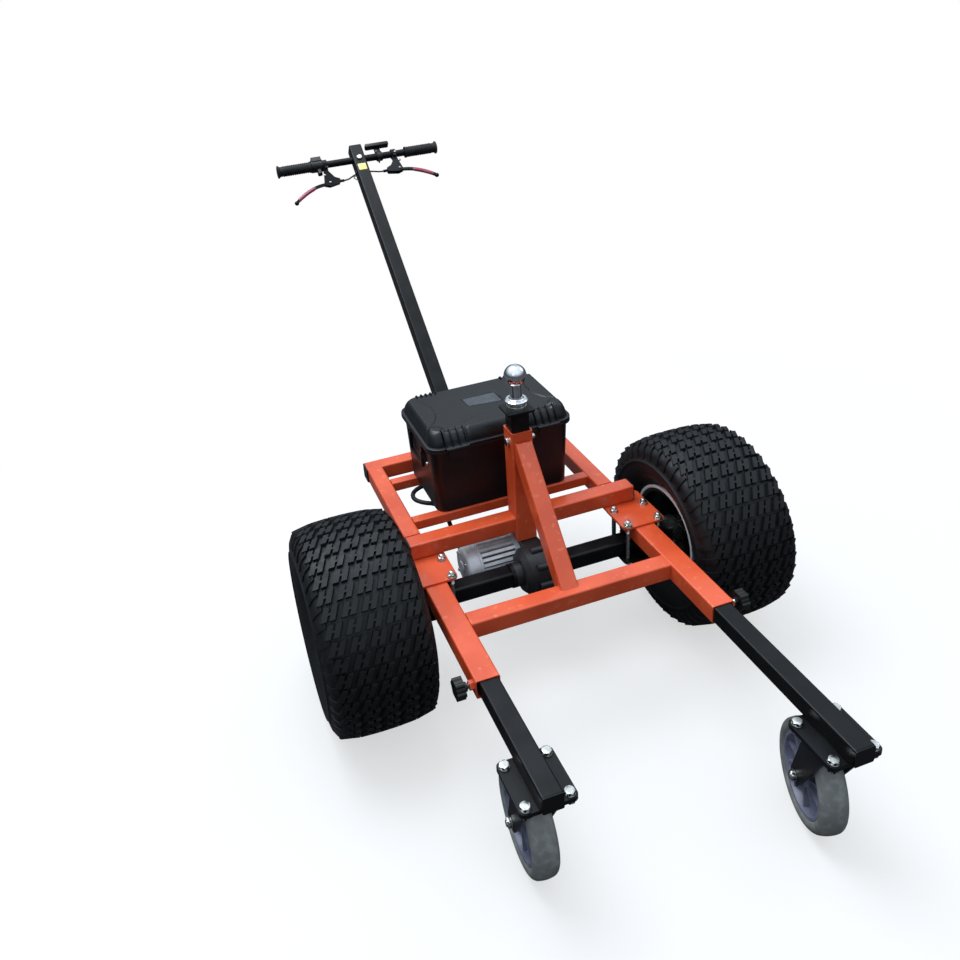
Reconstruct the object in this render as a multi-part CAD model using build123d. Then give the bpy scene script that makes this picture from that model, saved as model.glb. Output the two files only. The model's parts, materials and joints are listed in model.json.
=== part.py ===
from build123d import *
from math import atan2, cos, degrees, hypot, pi, radians, sin, tan
import os

# Electric trailer dolly: a welded frame on two driven turf wheels and two casters, with a tow ball on a
# post, a battery case behind it and a steering handle. Millimetres, X across, +Y to the rear, +Z up.
# Everything is drawn from the centre of the main cross beam and moved once, on export.

# Frame tubes
tube_side = 40.0
tube_wall = 3.0
beam_half_length = 280.0
beam_top = 342.0
rail_left_outer = -283.0
rail_right_outer = 246.0
rear_frame_length = 317.0
bearer_side = 25.0
bearer_wall = 2.0
bearer_front = 66.0
bearer_pitch = 179.0
plug_flange = 3.0
plug_depth = 12.0
fit_gap = 0.3

# Hitch post and brace
post_side = 50.0
post_wall = 3.0
post_drop = 22.0
post_top = 564.0
brace_angle = 49.5
brace_below_top = 23.0
brace_lip = 8.0

# Front frame
cross_tube_front = -257.0
cross_tube_top = 297.0
arm_width = 50.0
arm_height = 42.0
arm_wall = 2.5
arm_centre = 255.0
arm_reach = 403.0
clamp_plate_length = 133.0
clamp_plate_width = 106.0
plate_thickness = 5.0
plate_corner = 12.0

# Ball mount
ball_diameter = 50.0
neck_rise = 56.0
neck_diameter = 28.0
crown_flat = 1.2
ball_flange_diameter = 51.0
ball_flange_thickness = 7.0
ball_shank_diameter = 19.0
washer_diameter = 42.0
washer_thickness = 8.0
collar_diameter = 44.0
collar_thickness = 8.0
riser_side = 43.0
riser_wall = 4.0
riser_length = 180.0
riser_above_pin = 76.0
riser_plate_width = 64.0
riser_plate_depth = 56.0
ball_nut_flats = 30.0
ball_nut_height = 15.0
pin_diameter = 12.0
pin_drop = 30.0
pin_hole_pitch = 40.0
pin_hole_clearance = 0.3
pin_head_diameter = 20.0
pin_head_length = 6.0
pin_tail = 15.0
clip_wire = 3.5
clip_length = 62.0

# Axle and drive
axle_height = 230.0
axle_forward = 72.0
axle_side = 40.0
axle_wall = 4.0
axle_end = 340.0
shaft_diameter = 25.0
running_gap = 0.05
bearing_diameter = 52.0
bearing_housing_diameter = 70.0
bearing_housing_length = 22.0
bolt_diameter = 10.0
bolt_flats = 17.0
bolt_head = 6.4
nut_height = 8.0
hole_clearance = 0.5
axle_bolt_pitch_x = 78.0
axle_bolt_pitch_y = 64.0
axle_bolt_stand = 6.0
differential_radius = 54.0
differential_left = -43.0
differential_right = 17.0
gear_case_left = -17.0
cover_thickness = 13.0
boss_diameter = 56.0
boss_length = 17.0
motor_forward = -10.0
motor_height = 224.0
motor_diameter = 96.0
motor_body_left = -114.0
motor_body_right = -29.0
motor_bell_length = 42.0
motor_fin_count = 18
motor_fin_groove = 5.0
motor_fin_depth = 6.0
lug_count = 7
lug_first = 95.0
lug_spacing = 45.0
lug_diameter = 16.0
cover_lug_diameter = 14.0
cover_rib_count = 6
cover_rib_length = 30.0
cover_rib_width = 5.0
gland_diameter = 18.0
shaft_seat = 8.0

# Drive wheels
tyre_diameter = 460.0
tyre_width = 238.0
wheel_centre = 424.0
rim_seat_diameter = 203.2
rim_flange_diameter = 228.0
rim_width = 178.0
rim_well_diameter = 172.0
rim_wall = 3.0
carcass_thickness = 10.0
crown_drop = 11.0
disc_thickness = 4.5
stud_circle = 101.6
stud_count = 4
stud_diameter = 12.0
stud_flats = 19.0
hub_flange_diameter = 130.0
hub_barrel_diameter = 60.0

# Telescopic legs and casters
leg_width = 40.0
leg_height = 36.4
leg_wall = 2.5
leg_length = 500.0
leg_front_left = 668.0
leg_front_right = 776.0
leg_plate_width = 106.0
leg_plate_length = 110.0
leg_plate_corner = 10.0
leg_plate_setback = 8.0
caster_plate_thickness = 4.0
caster_bolt_pitch_x = 80.0
caster_bolt_pitch_y = 86.0
caster_wheel_diameter = 200.0
caster_wheel_width = 50.0
caster_tread_depth = 25.0
caster_core_width = 40.0
caster_hub_width = 54.0
caster_hub_diameter = 40.0
caster_spoke_count = 5
caster_spoke_width = 14.0
caster_trail = 55.0
caster_axle_diameter = 12.0
swivel_left = 3.4
swivel_right = 17.2
race_diameter = 72.0
race_height = 10.0
kingpin_diameter = 16.0
fork_wall = 4.0
fork_clearance = 3.0
fork_crown_length = 70.0
knob_forward = 386.0
knob_diameter = 44.0
knob_length = 18.0
knob_stand = 19.0
knob_lobe_count = 6
knob_nut_height = 8.0

# Steering handle
handle_lean = 50.8
handle_centre = -20.0
handle_length = 1026.0
handle_wall = 2.5
handle_foot_back = 15.0
handle_foot_rise = 12.5
ear_thickness = 5.0
ear_bolt_low = 32.0
ear_bolt_pitch = 70.0
bar_below_end = 45.7
bar_diameter = 22.2
bar_wall = 2.0
bar_half_length = 260.0
grip_length = 104.0
grip_diameter = 32.0
grip_flange_diameter = 42.0
throttle_housing_length = 50.0
lever_clamp_left = 112.0
lever_clamp_right = 117.0
lever_clamp_width = 14.0
lever_clamp_diameter = 32.0
lever_pivot_drop = 64.0
lever_pivot_out = 4.0
lever_thickness = 7.0
lever_tilt_left = 16.0
display_width = 78.0
display_depth = 42.0
display_thickness = 21.0
display_centre = 90.0
display_rise = 42.0
display_forward = 10.0
cap_bolt_diameter = 18.0
brake_cable_diameter = 5.0
cable_hole_drop = 52.0
cable_hole_diameter = 15.0

# Battery case
case_centre = -12.0
case_front = 72.0
case_bottom_width = 334.0
case_bottom_depth = 216.0
case_draft = 6.0
case_height = 170.0
case_wall = 4.0
case_corner = 24.0
lip_reach = 8.0
lip_height = 6.0
lid_height = 36.0
lid_bevel_front = 32.0
lid_bevel_side = 16.0
lid_wall = 3.5
gasket_width = 4.0
hinge_radius = 6.0
hinge_pin_diameter = 4.0
hinge_pitch = 12.0
hinge_knuckles = 5
hinge_spread = 112.0
latch_spread = 113.0
latch_width = 46.0
latch_pin_diameter = 3.0
latch_drop = 24.0
latch_thickness = 5.0
rib_thickness = 4.0
rib_pitch = 17.0
case_handle_width = 92.0
case_handle_drop = 48.0
case_handle_bar = 8.0
handle_pin_diameter = 5.0
battery_width = 180.0
battery_depth = 150.0
battery_height = 105.0
controller_width = 100.0
controller_depth = 120.0
controller_height = 40.0
power_cable_diameter = 11.0

# Places that follow from the sizes above
beam_middle = beam_top - tube_side / 2
beam_bottom = beam_top - tube_side
beam_rear = tube_side / 2
post_bottom = beam_bottom - post_drop
brace_top = post_top - brace_below_top
pin_height = post_top - pin_drop
riser_top = pin_height + riser_above_pin
ball_flange_bottom = riser_top + plate_thickness + collar_thickness + washer_thickness
ball_flange_top = ball_flange_bottom + ball_flange_thickness
ball_height = ball_flange_top + neck_rise
rear_beam_front = beam_rear + rear_frame_length
arm_bottom = cross_tube_top - arm_height
arm_middle = cross_tube_top - arm_height / 2
clamp_plate_rear = beam_rear
clamp_plate_front = clamp_plate_rear - clamp_plate_length
saddle_top = arm_bottom
axle_top = axle_height + axle_side / 2
leg_inner_gap = fit_gap
leg_middle = arm_middle
leg_bottom = leg_middle - leg_height / 2
leg_centre = arm_centre - arm_width / 2 + arm_wall + leg_inner_gap + leg_width / 2
leg_plate_bottom = leg_bottom - plate_thickness
caster_top = leg_plate_bottom - caster_plate_thickness
race_bottom = caster_top - race_height
fork_crown_top = race_bottom - fit_gap
handle_sin = sin(radians(handle_lean))
handle_cos = cos(radians(handle_lean))
foot_y = rear_beam_front + tube_side + handle_foot_back
foot_z = beam_top + handle_foot_rise
bar_along = handle_length - bar_below_end
bar_y = foot_y + bar_along * handle_sin
bar_z = foot_z + bar_along * handle_cos
case_bottom = beam_top
case_rim = case_bottom + case_height
case_middle_y = case_front + case_bottom_depth / 2
case_rim_width = case_bottom_width + 2 * case_draft
case_rim_depth = case_bottom_depth + 2 * case_draft
lip_width = case_rim_width + 2 * lip_reach
lip_depth = case_rim_depth + 2 * lip_reach
lid_bottom = case_rim + 2 * fit_gap
lid_top = case_rim + lid_height
gland_x = motor_body_left - motor_bell_length / 2
gland_z = motor_height + 10
gland_end = -motor_forward + motor_diameter / 2 + 8
hinge_y = case_middle_y + lip_depth / 2 + hinge_radius + 0.5
hinge_z = case_rim
latch_y = case_middle_y - lip_depth / 2 - latch_thickness
latch_z = case_rim + 5.0
handle_pivot_out = case_rim_width / 2 + case_handle_bar / 2
handle_pivot_z = case_rim - lip_height - 18

# The box of the whole part is centred on its origin, so the beam stands in front of the middle.
front_reach = leg_front_right + plug_flange
rear_reach = foot_y + handle_length * handle_sin + tube_side / 2 * handle_cos
beam_y = (front_reach - rear_reach) / 2
shift = Pos(0, beam_y, 0)

os.makedirs("parts", exist_ok=True)


def save(name, *pieces):
    solids = [solid for piece in pieces for solid in piece.solids()]
    shape = solids[0] if len(solids) == 1 else Compound(solids)
    export_step(shift * shape, f"parts/{name}.step")


def on_side(piece, side):
    """A piece drawn for the right, or its mirror image on the left."""
    return piece if side > 0 else mirror(piece, about=Plane.YZ)


def block(x_low, x_high, y_low, y_high, z_low, z_high):
    size = (x_high - x_low, y_high - y_low, z_high - z_low)
    return Pos(x_low, y_low, z_low) * Box(*size, align=(Align.MIN, Align.MIN, Align.MIN))


def rod_x(diameter, x_low, x_high, y, z):
    return Pos((x_low + x_high) / 2, y, z) * Rot(0, 90, 0) * Cylinder(diameter / 2, x_high - x_low)


def rod_y(diameter, y_low, y_high, x, z):
    return Pos(x, (y_low + y_high) / 2, z) * Rot(90, 0, 0) * Cylinder(diameter / 2, y_high - y_low)


def rod_z(diameter, z_low, z_high, x, y):
    return Pos(x, y, (z_low + z_high) / 2) * Cylinder(diameter / 2, z_high - z_low)


def hexagon_z(flats, z_low, z_high, x, y):
    outline = Plane((x, y, z_low)) * RegularPolygon(flats / 2, 6, major_radius=False)
    return extrude(outline, z_high - z_low)


def hexagon_x(flats, x_low, x_high, y, z):
    plane = Plane((x_low, y, z), x_dir=(0, 1, 0), z_dir=(1, 0, 0))
    return extrude(plane * RegularPolygon(flats / 2, 6, major_radius=False), x_high - x_low)


def tube_section(width, height, wall):
    """Rolled tube with rounded corners, outside and in."""
    outer = RectangleRounded(width, height, 1.5 * wall)
    return outer - RectangleRounded(width - 2 * wall, height - 2 * wall, 0.5 * wall)


def tube_x(x_low, x_high, y, z, depth, height, wall):
    plane = Plane((x_low, y, z), x_dir=(0, 1, 0), z_dir=(1, 0, 0))
    return extrude(plane * tube_section(depth, height, wall), x_high - x_low)


def tube_y(y_low, y_high, x, z, width, height, wall):
    plane = Plane((x, y_low, z), x_dir=(-1, 0, 0), z_dir=(0, 1, 0))
    return extrude(plane * tube_section(width, height, wall), y_high - y_low)


def tube_z(z_low, z_high, x, y, side, wall):
    return extrude(Plane((x, y, z_low)) * tube_section(side, side, wall), z_high - z_low)


def rounded_plate(width, length, corner, z_low, z_high, x, y):
    return extrude(Plane((x, y, z_low)) * RectangleRounded(width, length, corner), z_high - z_low)


def tube_plug(direction, end, across, up, depth, height, wall):
    """Black end plug of a tube along X or Y: a flange on the end and a stub inside the tube."""
    flange = Box(plug_flange, depth - 1, height - 1)
    flange = fillet(flange.edges().filter_by(Axis.X), 1.5 * wall - 0.5)
    stub = Box(plug_depth, depth - 2 * wall - fit_gap, height - 2 * wall - fit_gap)
    stub = fillet(stub.edges().filter_by(Axis.X), wall)
    plug = Pos(plug_flange / 2, 0, 0) * flange + Pos(-plug_depth / 2, 0, 0) * stub
    if direction == "x":
        return Pos(end, across, up) * plug
    return Pos(across, end, up) * Rot(0, 0, 90) * plug


# Main frame

def build_cross_beam():
    right = tube_x(post_side / 2, beam_half_length, 0, beam_middle, tube_side, tube_side, tube_wall)
    save("cross_beam", right, on_side(right, -1))


def build_rear_frame():
    left_x = rail_left_outer + tube_side / 2
    right_x = rail_right_outer - tube_side / 2
    rails = [
        tube_y(beam_rear, rear_beam_front, x, beam_middle, tube_side, tube_side, tube_wall)
        for x in (left_x, right_x)
    ]
    save("side_rails", *rails)
    rear_y = rear_beam_front + tube_side / 2
    rear = tube_x(rail_left_outer, rail_right_outer, rear_y, beam_middle, tube_side, tube_side, tube_wall)
    save("rear_beam", rear)
    bearer_z = beam_top - bearer_side / 2
    bearers = [
        tube_x(left_x + tube_side / 2, right_x - tube_side / 2, bearer_front + bearer_side / 2 + along,
               bearer_z, bearer_side, bearer_side, bearer_wall)
        for along in (0, bearer_pitch)
    ]
    save("case_bearers", *bearers)


def build_hitch_post():
    post = tube_z(post_bottom, post_top, 0, 0, post_side, post_wall)
    hole = rod_x(pin_diameter + 2 * pin_hole_clearance, -post_side, post_side, 0, pin_height)
    save("hitch_post", post - hole)


def build_post_brace():
    slope = radians(brace_angle)
    front = -post_side / 2
    lip_y = front - brace_lip
    run = (brace_top - cross_tube_top) / tan(slope)
    foot_front = lip_y - run
    foot_rear = foot_front + tube_side / sin(slope)
    tube_rear = cross_tube_front + tube_side
    heel_z = cross_tube_top - (foot_rear - tube_rear) * tan(slope)
    throat_z = cross_tube_top + (front - foot_rear) * tan(slope)
    side = [(foot_front, cross_tube_top), (lip_y, brace_top), (front, brace_top), (front, throat_z),
            (tube_rear, heel_z), (tube_rear, cross_tube_top)]
    outline = make_face(Polyline(*side, close=True))
    solid = extrude(Plane((-tube_side / 2, 0, 0), x_dir=(0, 1, 0), z_dir=(1, 0, 0)) * outline, tube_side)
    along = Vector(0, cos(slope), sin(slope))
    middle = Vector(0, (foot_front + foot_rear) / 2, cross_tube_top) - along * 2 * tube_side
    long_tube = extrude(
        Plane(middle, x_dir=(1, 0, 0), z_dir=along) * tube_section(tube_side, tube_side, tube_wall),
        12 * tube_side,
    )
    save("post_brace", solid & long_tube)


def build_front_frame():
    inner = arm_centre - arm_width / 2
    cross_y = cross_tube_front + tube_side / 2
    cross_z = cross_tube_top - tube_side / 2
    save("front_cross_tube", tube_x(-inner, inner, cross_y, cross_z, tube_side, tube_side, tube_wall))
    arm = tube_y(-arm_reach, beam_rear, arm_centre, arm_middle, arm_width, arm_height, arm_wall)
    knob_hole = rod_x(bolt_diameter + 2 * hole_clearance, arm_centre, arm_centre + arm_width,
                      -knob_forward, leg_middle)
    arm = arm - knob_hole
    outer = arm_centre + arm_width / 2
    weld_nut = hexagon_x(bolt_flats, outer, outer + knob_nut_height, -knob_forward, leg_middle)
    weld_nut = weld_nut - rod_x(bolt_diameter + 2 * hole_clearance, outer - 1, outer + knob_nut_height + 1,
                                -knob_forward, leg_middle)
    for side, name in ((-1, "left"), (1, "right")):
        save(f"leg_arm_{name}", on_side(arm + weld_nut, side))


def build_clamp_plates():
    middle_y = (clamp_plate_front + clamp_plate_rear) / 2
    plate = rounded_plate(clamp_plate_width, clamp_plate_length, plate_corner,
                          cross_tube_top, cross_tube_top + plate_thickness, arm_centre + 1, middle_y)
    for x, y in axle_bolt_places():
        plate = plate - rod_z(bolt_diameter + 2 * hole_clearance, cross_tube_top - 1,
                              cross_tube_top + plate_thickness + 1, x, y)
    save("axle_clamp_plates", plate, on_side(plate, -1))


def axle_bolt_places():
    return [
        (arm_centre + 0.25 + across, -axle_forward + along)
        for across in (-axle_bolt_pitch_x / 2, axle_bolt_pitch_x / 2)
        for along in (-axle_bolt_pitch_y / 2, axle_bolt_pitch_y / 2)
    ]


def build_tube_plugs():
    beam_end = tube_plug("x", beam_half_length, 0, beam_middle, tube_side, tube_side, tube_wall)
    arm_end = tube_plug("y", beam_rear, arm_centre, arm_middle, arm_width, arm_height, arm_wall)
    rear_y = rear_beam_front + tube_side / 2
    rear_right = tube_plug("x", rail_right_outer, rear_y, beam_middle, tube_side, tube_side, tube_wall)
    rear_left = tube_plug("x", -rail_left_outer, rear_y, beam_middle, tube_side, tube_side, tube_wall)
    save("tube_plugs", beam_end, on_side(beam_end, -1), arm_end, on_side(arm_end, -1),
         rear_right, on_side(rear_left, -1))


# Ball mount

def build_ball_riser():
    riser = tube_z(riser_top - riser_length, riser_top, 0, 0, riser_side, riser_wall)
    for step in range(3):
        riser = riser - rod_x(pin_diameter + 2 * pin_hole_clearance, -riser_side, riser_side, 0,
                              pin_height - step * pin_hole_pitch)
    plate = rounded_plate(riser_plate_width, riser_plate_depth, 3, riser_top, riser_top + plate_thickness, 0, 0)
    plate = plate - rod_z(ball_shank_diameter + hole_clearance, riser_top - 1,
                          riser_top + plate_thickness + 1, 0, 0)
    save("ball_riser", riser, plate)


def build_tow_ball():
    radius = ball_diameter / 2
    flange_top = ball_flange_top
    flange_bottom = ball_flange_bottom
    neck = neck_diameter / 2
    blend_z = ball_height - (radius ** 2 - neck ** 2) ** 0.5
    shank = ball_shank_diameter / 2
    shank_end = riser_top - ball_nut_height - 8
    flange = ball_flange_diameter / 2
    profile = make_face(
        Polyline((0, ball_height + radius), (0, shank_end), (shank, shank_end), (shank, flange_bottom),
                 (flange - 1, flange_bottom), (flange, flange_bottom + 1), (flange, flange_top - 2),
                 (flange - 3, flange_top), (neck + 4, flange_top))
        + ThreePointArc((neck + 4, flange_top), (neck + 1, flange_top + 1.6), (neck, flange_top + 5))
        + Line((neck, flange_top + 5), (neck, blend_z))
        + ThreePointArc((neck, blend_z), (radius, ball_height), (0, ball_height + radius))
    )
    ball = revolve(Plane.XZ * profile, Axis.Z)
    cap = rod_z(2 * neck, ball_height + radius - crown_flat, ball_height + radius + 1, 0, 0)
    save("tow_ball", ball - cap)

    plate_top = riser_top + plate_thickness
    collar = rod_z(collar_diameter, plate_top, plate_top + collar_thickness, 0, 0)
    washer = rod_z(washer_diameter, plate_top + collar_thickness, flange_bottom, 0, 0)
    split = block(0, washer_diameter, -1.5, 1.5, plate_top + collar_thickness, flange_bottom)
    nut = hexagon_z(ball_nut_flats, riser_top - ball_nut_height, riser_top, 0, 0)
    bore = rod_z(ball_shank_diameter + 2 * running_gap, shank_end, flange_top, 0, 0)
    save("ball_fastenings", collar - bore, washer - split - bore, nut - bore)


def build_hitch_pin():
    face = post_side / 2
    tail = face + pin_tail
    shank = rod_x(pin_diameter, -face - 1, tail, 0, pin_height)
    shank = chamfer(shank.edges().sort_by(Axis.X)[-1], 2)
    head = rod_x(pin_head_diameter, -face - fit_gap - pin_head_length, -face - fit_gap, 0, pin_height)
    head = fillet(head.edges().sort_by(Axis.X)[0], 2.5)
    clip_x = tail - pin_tail / 2
    cross_hole = rod_z(clip_wire + 2 * running_gap, pin_height - pin_diameter, pin_height + pin_diameter,
                       clip_x, 0)
    save("hitch_pin", shank + head - cross_hole)

    loop = clip_wire * 1.9
    kink = pin_diameter / 2 + clip_wire / 2 + fit_gap
    bottom = pin_height - clip_length
    top = pin_height + pin_diameter
    wire_line = (
        Line((0, top), (0, bottom))
        + ThreePointArc((0, bottom), (loop, bottom - loop), (2 * loop, bottom))
        + Line((2 * loop, bottom), (2 * loop, bottom + clip_length * 0.5))
        + Line((2 * loop, bottom + clip_length * 0.5), (kink, pin_height))
        + Line((kink, pin_height), (kink + 5, top))
    )
    plane = Plane((clip_x, 0, 0), x_dir=(0, 1, 0), z_dir=(1, 0, 0))
    start = Plane((clip_x, 0, top), z_dir=(0, 0, -1))
    wire = sweep(start * Circle(clip_wire / 2), plane * wire_line, transition=Transition.ROUND)
    save("hitch_pin_clip", wire)


# Axle and drive

def build_axle():
    right_start = differential_right + cover_thickness + boss_length
    left_start = -differential_left + boss_length

    def axle_tube(start):
        tube = tube_x(start, axle_end, -axle_forward, axle_height, axle_side, axle_side, axle_wall)
        collar = rod_x(boss_diameter, start, start + 8, -axle_forward, axle_height)
        collar = collar - rod_x(shaft_diameter + 8, start - 1, start + 9, -axle_forward, axle_height)
        return tube + collar

    save("axle_tubes", axle_tube(right_start), on_side(axle_tube(left_start), -1))

    housing_end = axle_end + bearing_housing_length
    housing = rod_x(bearing_housing_diameter, axle_end, housing_end, -axle_forward, axle_height)
    housing = chamfer(housing.edges().sort_by(Axis.X)[-1], 4)
    housing = housing - rod_x(bearing_diameter, axle_end + 4, housing_end - 3, -axle_forward, axle_height)
    housing = housing - rod_x(shaft_diameter + 6, axle_end - 1, housing_end + 1, -axle_forward, axle_height)
    race = rod_x(bearing_diameter, axle_end + 4, housing_end - 3, -axle_forward, axle_height)
    race = race - rod_x(shaft_diameter + 2 * running_gap, axle_end, housing_end, -axle_forward, axle_height)
    save("axle_bearings", housing, race, on_side(housing, -1), on_side(race, -1))


def build_axle_clamps():
    saddle = block(arm_centre - arm_width / 2, arm_centre + arm_width / 2,
                   -axle_forward - axle_side / 2, -axle_forward + axle_side / 2, axle_top, saddle_top)
    strap_top = axle_height - axle_side / 2
    strap_bottom = strap_top - plate_thickness
    strap = rounded_plate(clamp_plate_width, axle_bolt_pitch_y + 20, 6, strap_bottom, strap_top,
                          arm_centre + 1, -axle_forward)
    nut_seat = cross_tube_top + plate_thickness
    bolts = []
    for x, y in axle_bolt_places():
        strap = strap - rod_z(bolt_diameter + 2 * hole_clearance, strap_bottom - 1, strap_top + 1, x, y)
        bolt = rod_z(bolt_diameter, strap_bottom - 1, nut_seat + nut_height + axle_bolt_stand, x, y)
        head = hexagon_z(bolt_flats, strap_bottom - bolt_head, strap_bottom, x, y)
        nut = hexagon_z(bolt_flats, nut_seat, nut_seat + nut_height, x, y)
        bolts.append(bolt + head + nut)
    save("axle_saddles", saddle, strap, on_side(saddle, -1), on_side(strap, -1))
    save("axle_bolts", *bolts, *[on_side(bolt, -1) for bolt in bolts])


def lug_places(radius):
    """Places of the bolt lugs round the differential, open towards the motor."""
    angles = [radians(lug_first + step * lug_spacing) for step in range(lug_count)]
    return [(-axle_forward + radius * cos(angle), axle_height + radius * sin(angle)) for angle in angles]


def build_drive_unit():
    axle = (-axle_forward, axle_height)
    motor = (-motor_forward, motor_height)
    side_plane = Plane((gear_case_left, 0, 0), x_dir=(0, 1, 0), z_dir=(1, 0, 0))
    outline = make_hull(
        (Pos(*axle) * Circle(differential_radius)).edges() + (Pos(*motor) * Circle(motor_diameter / 2)).edges()
    )
    gear_case = extrude(side_plane * outline, differential_right - gear_case_left)
    bulge = rod_x(2 * differential_radius, differential_left, gear_case_left, *axle)
    bulge = chamfer(bulge.edges().sort_by(Axis.X)[0], 12)
    motor_room = rod_x(motor_diameter + 2, differential_left - 1, gear_case_left, *motor)
    left_boss = rod_x(boss_diameter, differential_left - boss_length, differential_left, *axle)
    shaft_room = rod_x(shaft_diameter + 2 * running_gap, differential_left - boss_length - 1,
                       differential_left + shaft_seat, *axle)
    casting = gear_case + bulge - motor_room + left_boss
    for place in lug_places(differential_radius + 1):
        casting = casting + rod_x(lug_diameter, gear_case_left, differential_right, *place)
    casting = casting - shaft_room

    cover_end = differential_right + cover_thickness
    cover_plane = Plane((differential_right, 0, 0), x_dir=(0, 1, 0), z_dir=(1, 0, 0))
    cover = extrude(cover_plane * offset(outline, -3), cover_thickness)
    cover = chamfer(cover.faces().sort_by(Axis.X)[-1].edges(), 4)
    for place in lug_places(differential_radius - 2):
        cover = cover + rod_x(cover_lug_diameter, differential_right, cover_end + 2, *place)
    rib = Box(3, cover_rib_length, cover_rib_width)
    rib_middle = boss_diameter / 2 + cover_rib_length / 2 - 5
    for step in range(cover_rib_count):
        turn = Rot((step + 0.5) * 360 / cover_rib_count, 0, 0)
        cover = cover + Pos(cover_end + 1, *axle) * turn * Pos(0, rib_middle, 0) * rib
    cover = cover + rod_x(boss_diameter, cover_end, cover_end + boss_length, *axle)
    cover = cover - rod_x(shaft_diameter + 2 * running_gap, differential_right - shaft_seat - 2,
                          cover_end + boss_length + 1, *axle)
    casting = casting - rod_x(shaft_diameter + 2 * running_gap, differential_right - shaft_seat - 2,
                              differential_right + 1, *axle)
    save("differential_housing", casting, cover)

    body = rod_x(motor_diameter, motor_body_left, motor_body_right, *motor)
    for step in range(motor_fin_count):
        groove = Box(motor_body_right - motor_body_left + 2, motor_fin_groove, 2 * motor_fin_depth)
        turn = Rot(step * 360 / motor_fin_count, 0, 0)
        centre_x = (motor_body_left + motor_body_right) / 2
        body = body - Pos(centre_x, *motor) * turn * Pos(0, 0, motor_diameter / 2) * groove
    rear_bell = rod_x(motor_diameter - 6, motor_body_left - motor_bell_length, motor_body_left, *motor)
    rear_bell = fillet(rear_bell.edges().sort_by(Axis.X)[0], 8)
    gland = rod_y(gland_diameter, motor[0] + motor_diameter / 2 - 12, gland_end, gland_x, gland_z)
    front_bell = rod_x(motor_diameter - 2, motor_body_right, gear_case_left, *motor)
    save("drive_motor", body, rear_bell + gland, front_bell)


# Drive wheels, drawn about X with the axial place counted outward from the wheel's middle

def wheel_place():
    return Pos(wheel_centre, -axle_forward, axle_height)


def build_tyres():
    crown = tyre_diameter / 2
    half = tyre_width / 2
    seat = rim_seat_diameter / 2
    bead_out = rim_width / 2 - rim_wall
    bead_in = bead_out - 16
    shoulder_x = half - 20
    shoulder_r = crown - crown_drop
    mid_r = (crown + seat) / 2
    thick = carcass_thickness
    rim_edge = rim_flange_diameter / 2 + 1

    def right_half(sign):
        outer = [
            Line((sign * bead_out, seat), (sign * bead_out, rim_edge)),
            ThreePointArc((sign * bead_out, rim_edge), (sign * half, mid_r + 6),
                          (sign * (half - 7), crown - 26)),
            ThreePointArc((sign * (half - 7), crown - 26), (sign * (half - 10), shoulder_r - 4),
                          (sign * shoulder_x, shoulder_r)),
        ]
        inner = [
            Line((sign * bead_out, seat), (sign * bead_in, seat)),
            Line((sign * bead_in, seat), (sign * bead_in, rim_edge)),
            ThreePointArc((sign * bead_in, rim_edge), (sign * (half - thick), mid_r + 4),
                          (sign * (shoulder_x - 2), shoulder_r - thick)),
        ]
        return outer + inner

    crown_arcs = [
        ThreePointArc((-shoulder_x, shoulder_r), (0, crown), (shoulder_x, shoulder_r)),
        ThreePointArc((2 - shoulder_x, shoulder_r - thick), (0, crown - thick - 2),
                      (shoulder_x - 2, shoulder_r - thick)),
    ]
    profile = make_face(right_half(1) + right_half(-1) + crown_arcs)
    tyre = wheel_place() * revolve(Plane.XZ * profile, Axis.X)
    for side, name in ((-1, "left"), (1, "right")):
        save(f"drive_tyre_{name}", on_side(tyre, side))


def build_rims():
    half = rim_width / 2
    seat = rim_seat_diameter / 2
    flange = rim_flange_diameter / 2
    well = rim_well_diameter / 2
    ledge = half - 27
    floor = half - 37
    tyre_side = [(half - rim_wall, flange), (half - rim_wall, seat), (ledge, seat), (floor, well)]
    hollow_side = [(half + 4, flange - rim_wall), (half, seat - rim_wall),
                   (ledge + 1.5, seat - rim_wall), (floor + 1.5, well - rim_wall)]
    outline = tyre_side + [(-x, r) for x, r in reversed(tyre_side)]
    outline += [(-half - 4, flange)]
    outline += [(-x, r) for x, r in hollow_side]
    outline += list(reversed(hollow_side)) + [(half + 4, flange)]
    barrel = revolve(Plane.XZ * make_face(Polyline(*outline, close=True)), Axis.X)
    flat = hub_flange_diameter / 2 + 3
    bore = shaft_diameter / 2 + 8
    disc_outline = [(0, bore), (0, flat), (10, well - rim_wall), (10 + disc_thickness * 1.2, well - rim_wall),
                    (disc_thickness, flat), (disc_thickness, bore)]
    disc = revolve(Plane.XZ * make_face(Polyline(*disc_outline, close=True)), Axis.X)
    for step in range(stud_count):
        angle = radians(45 + step * 360 / stud_count)
        hole = rod_x(stud_diameter + 2 * hole_clearance, -1, disc_thickness + 1,
                     stud_circle / 2 * cos(angle), stud_circle / 2 * sin(angle))
        disc = disc - hole
    for side, name in ((-1, "left"), (1, "right")):
        save(f"drive_rim_{name}", on_side(wheel_place() * barrel, side), on_side(wheel_place() * disc, side))


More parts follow.
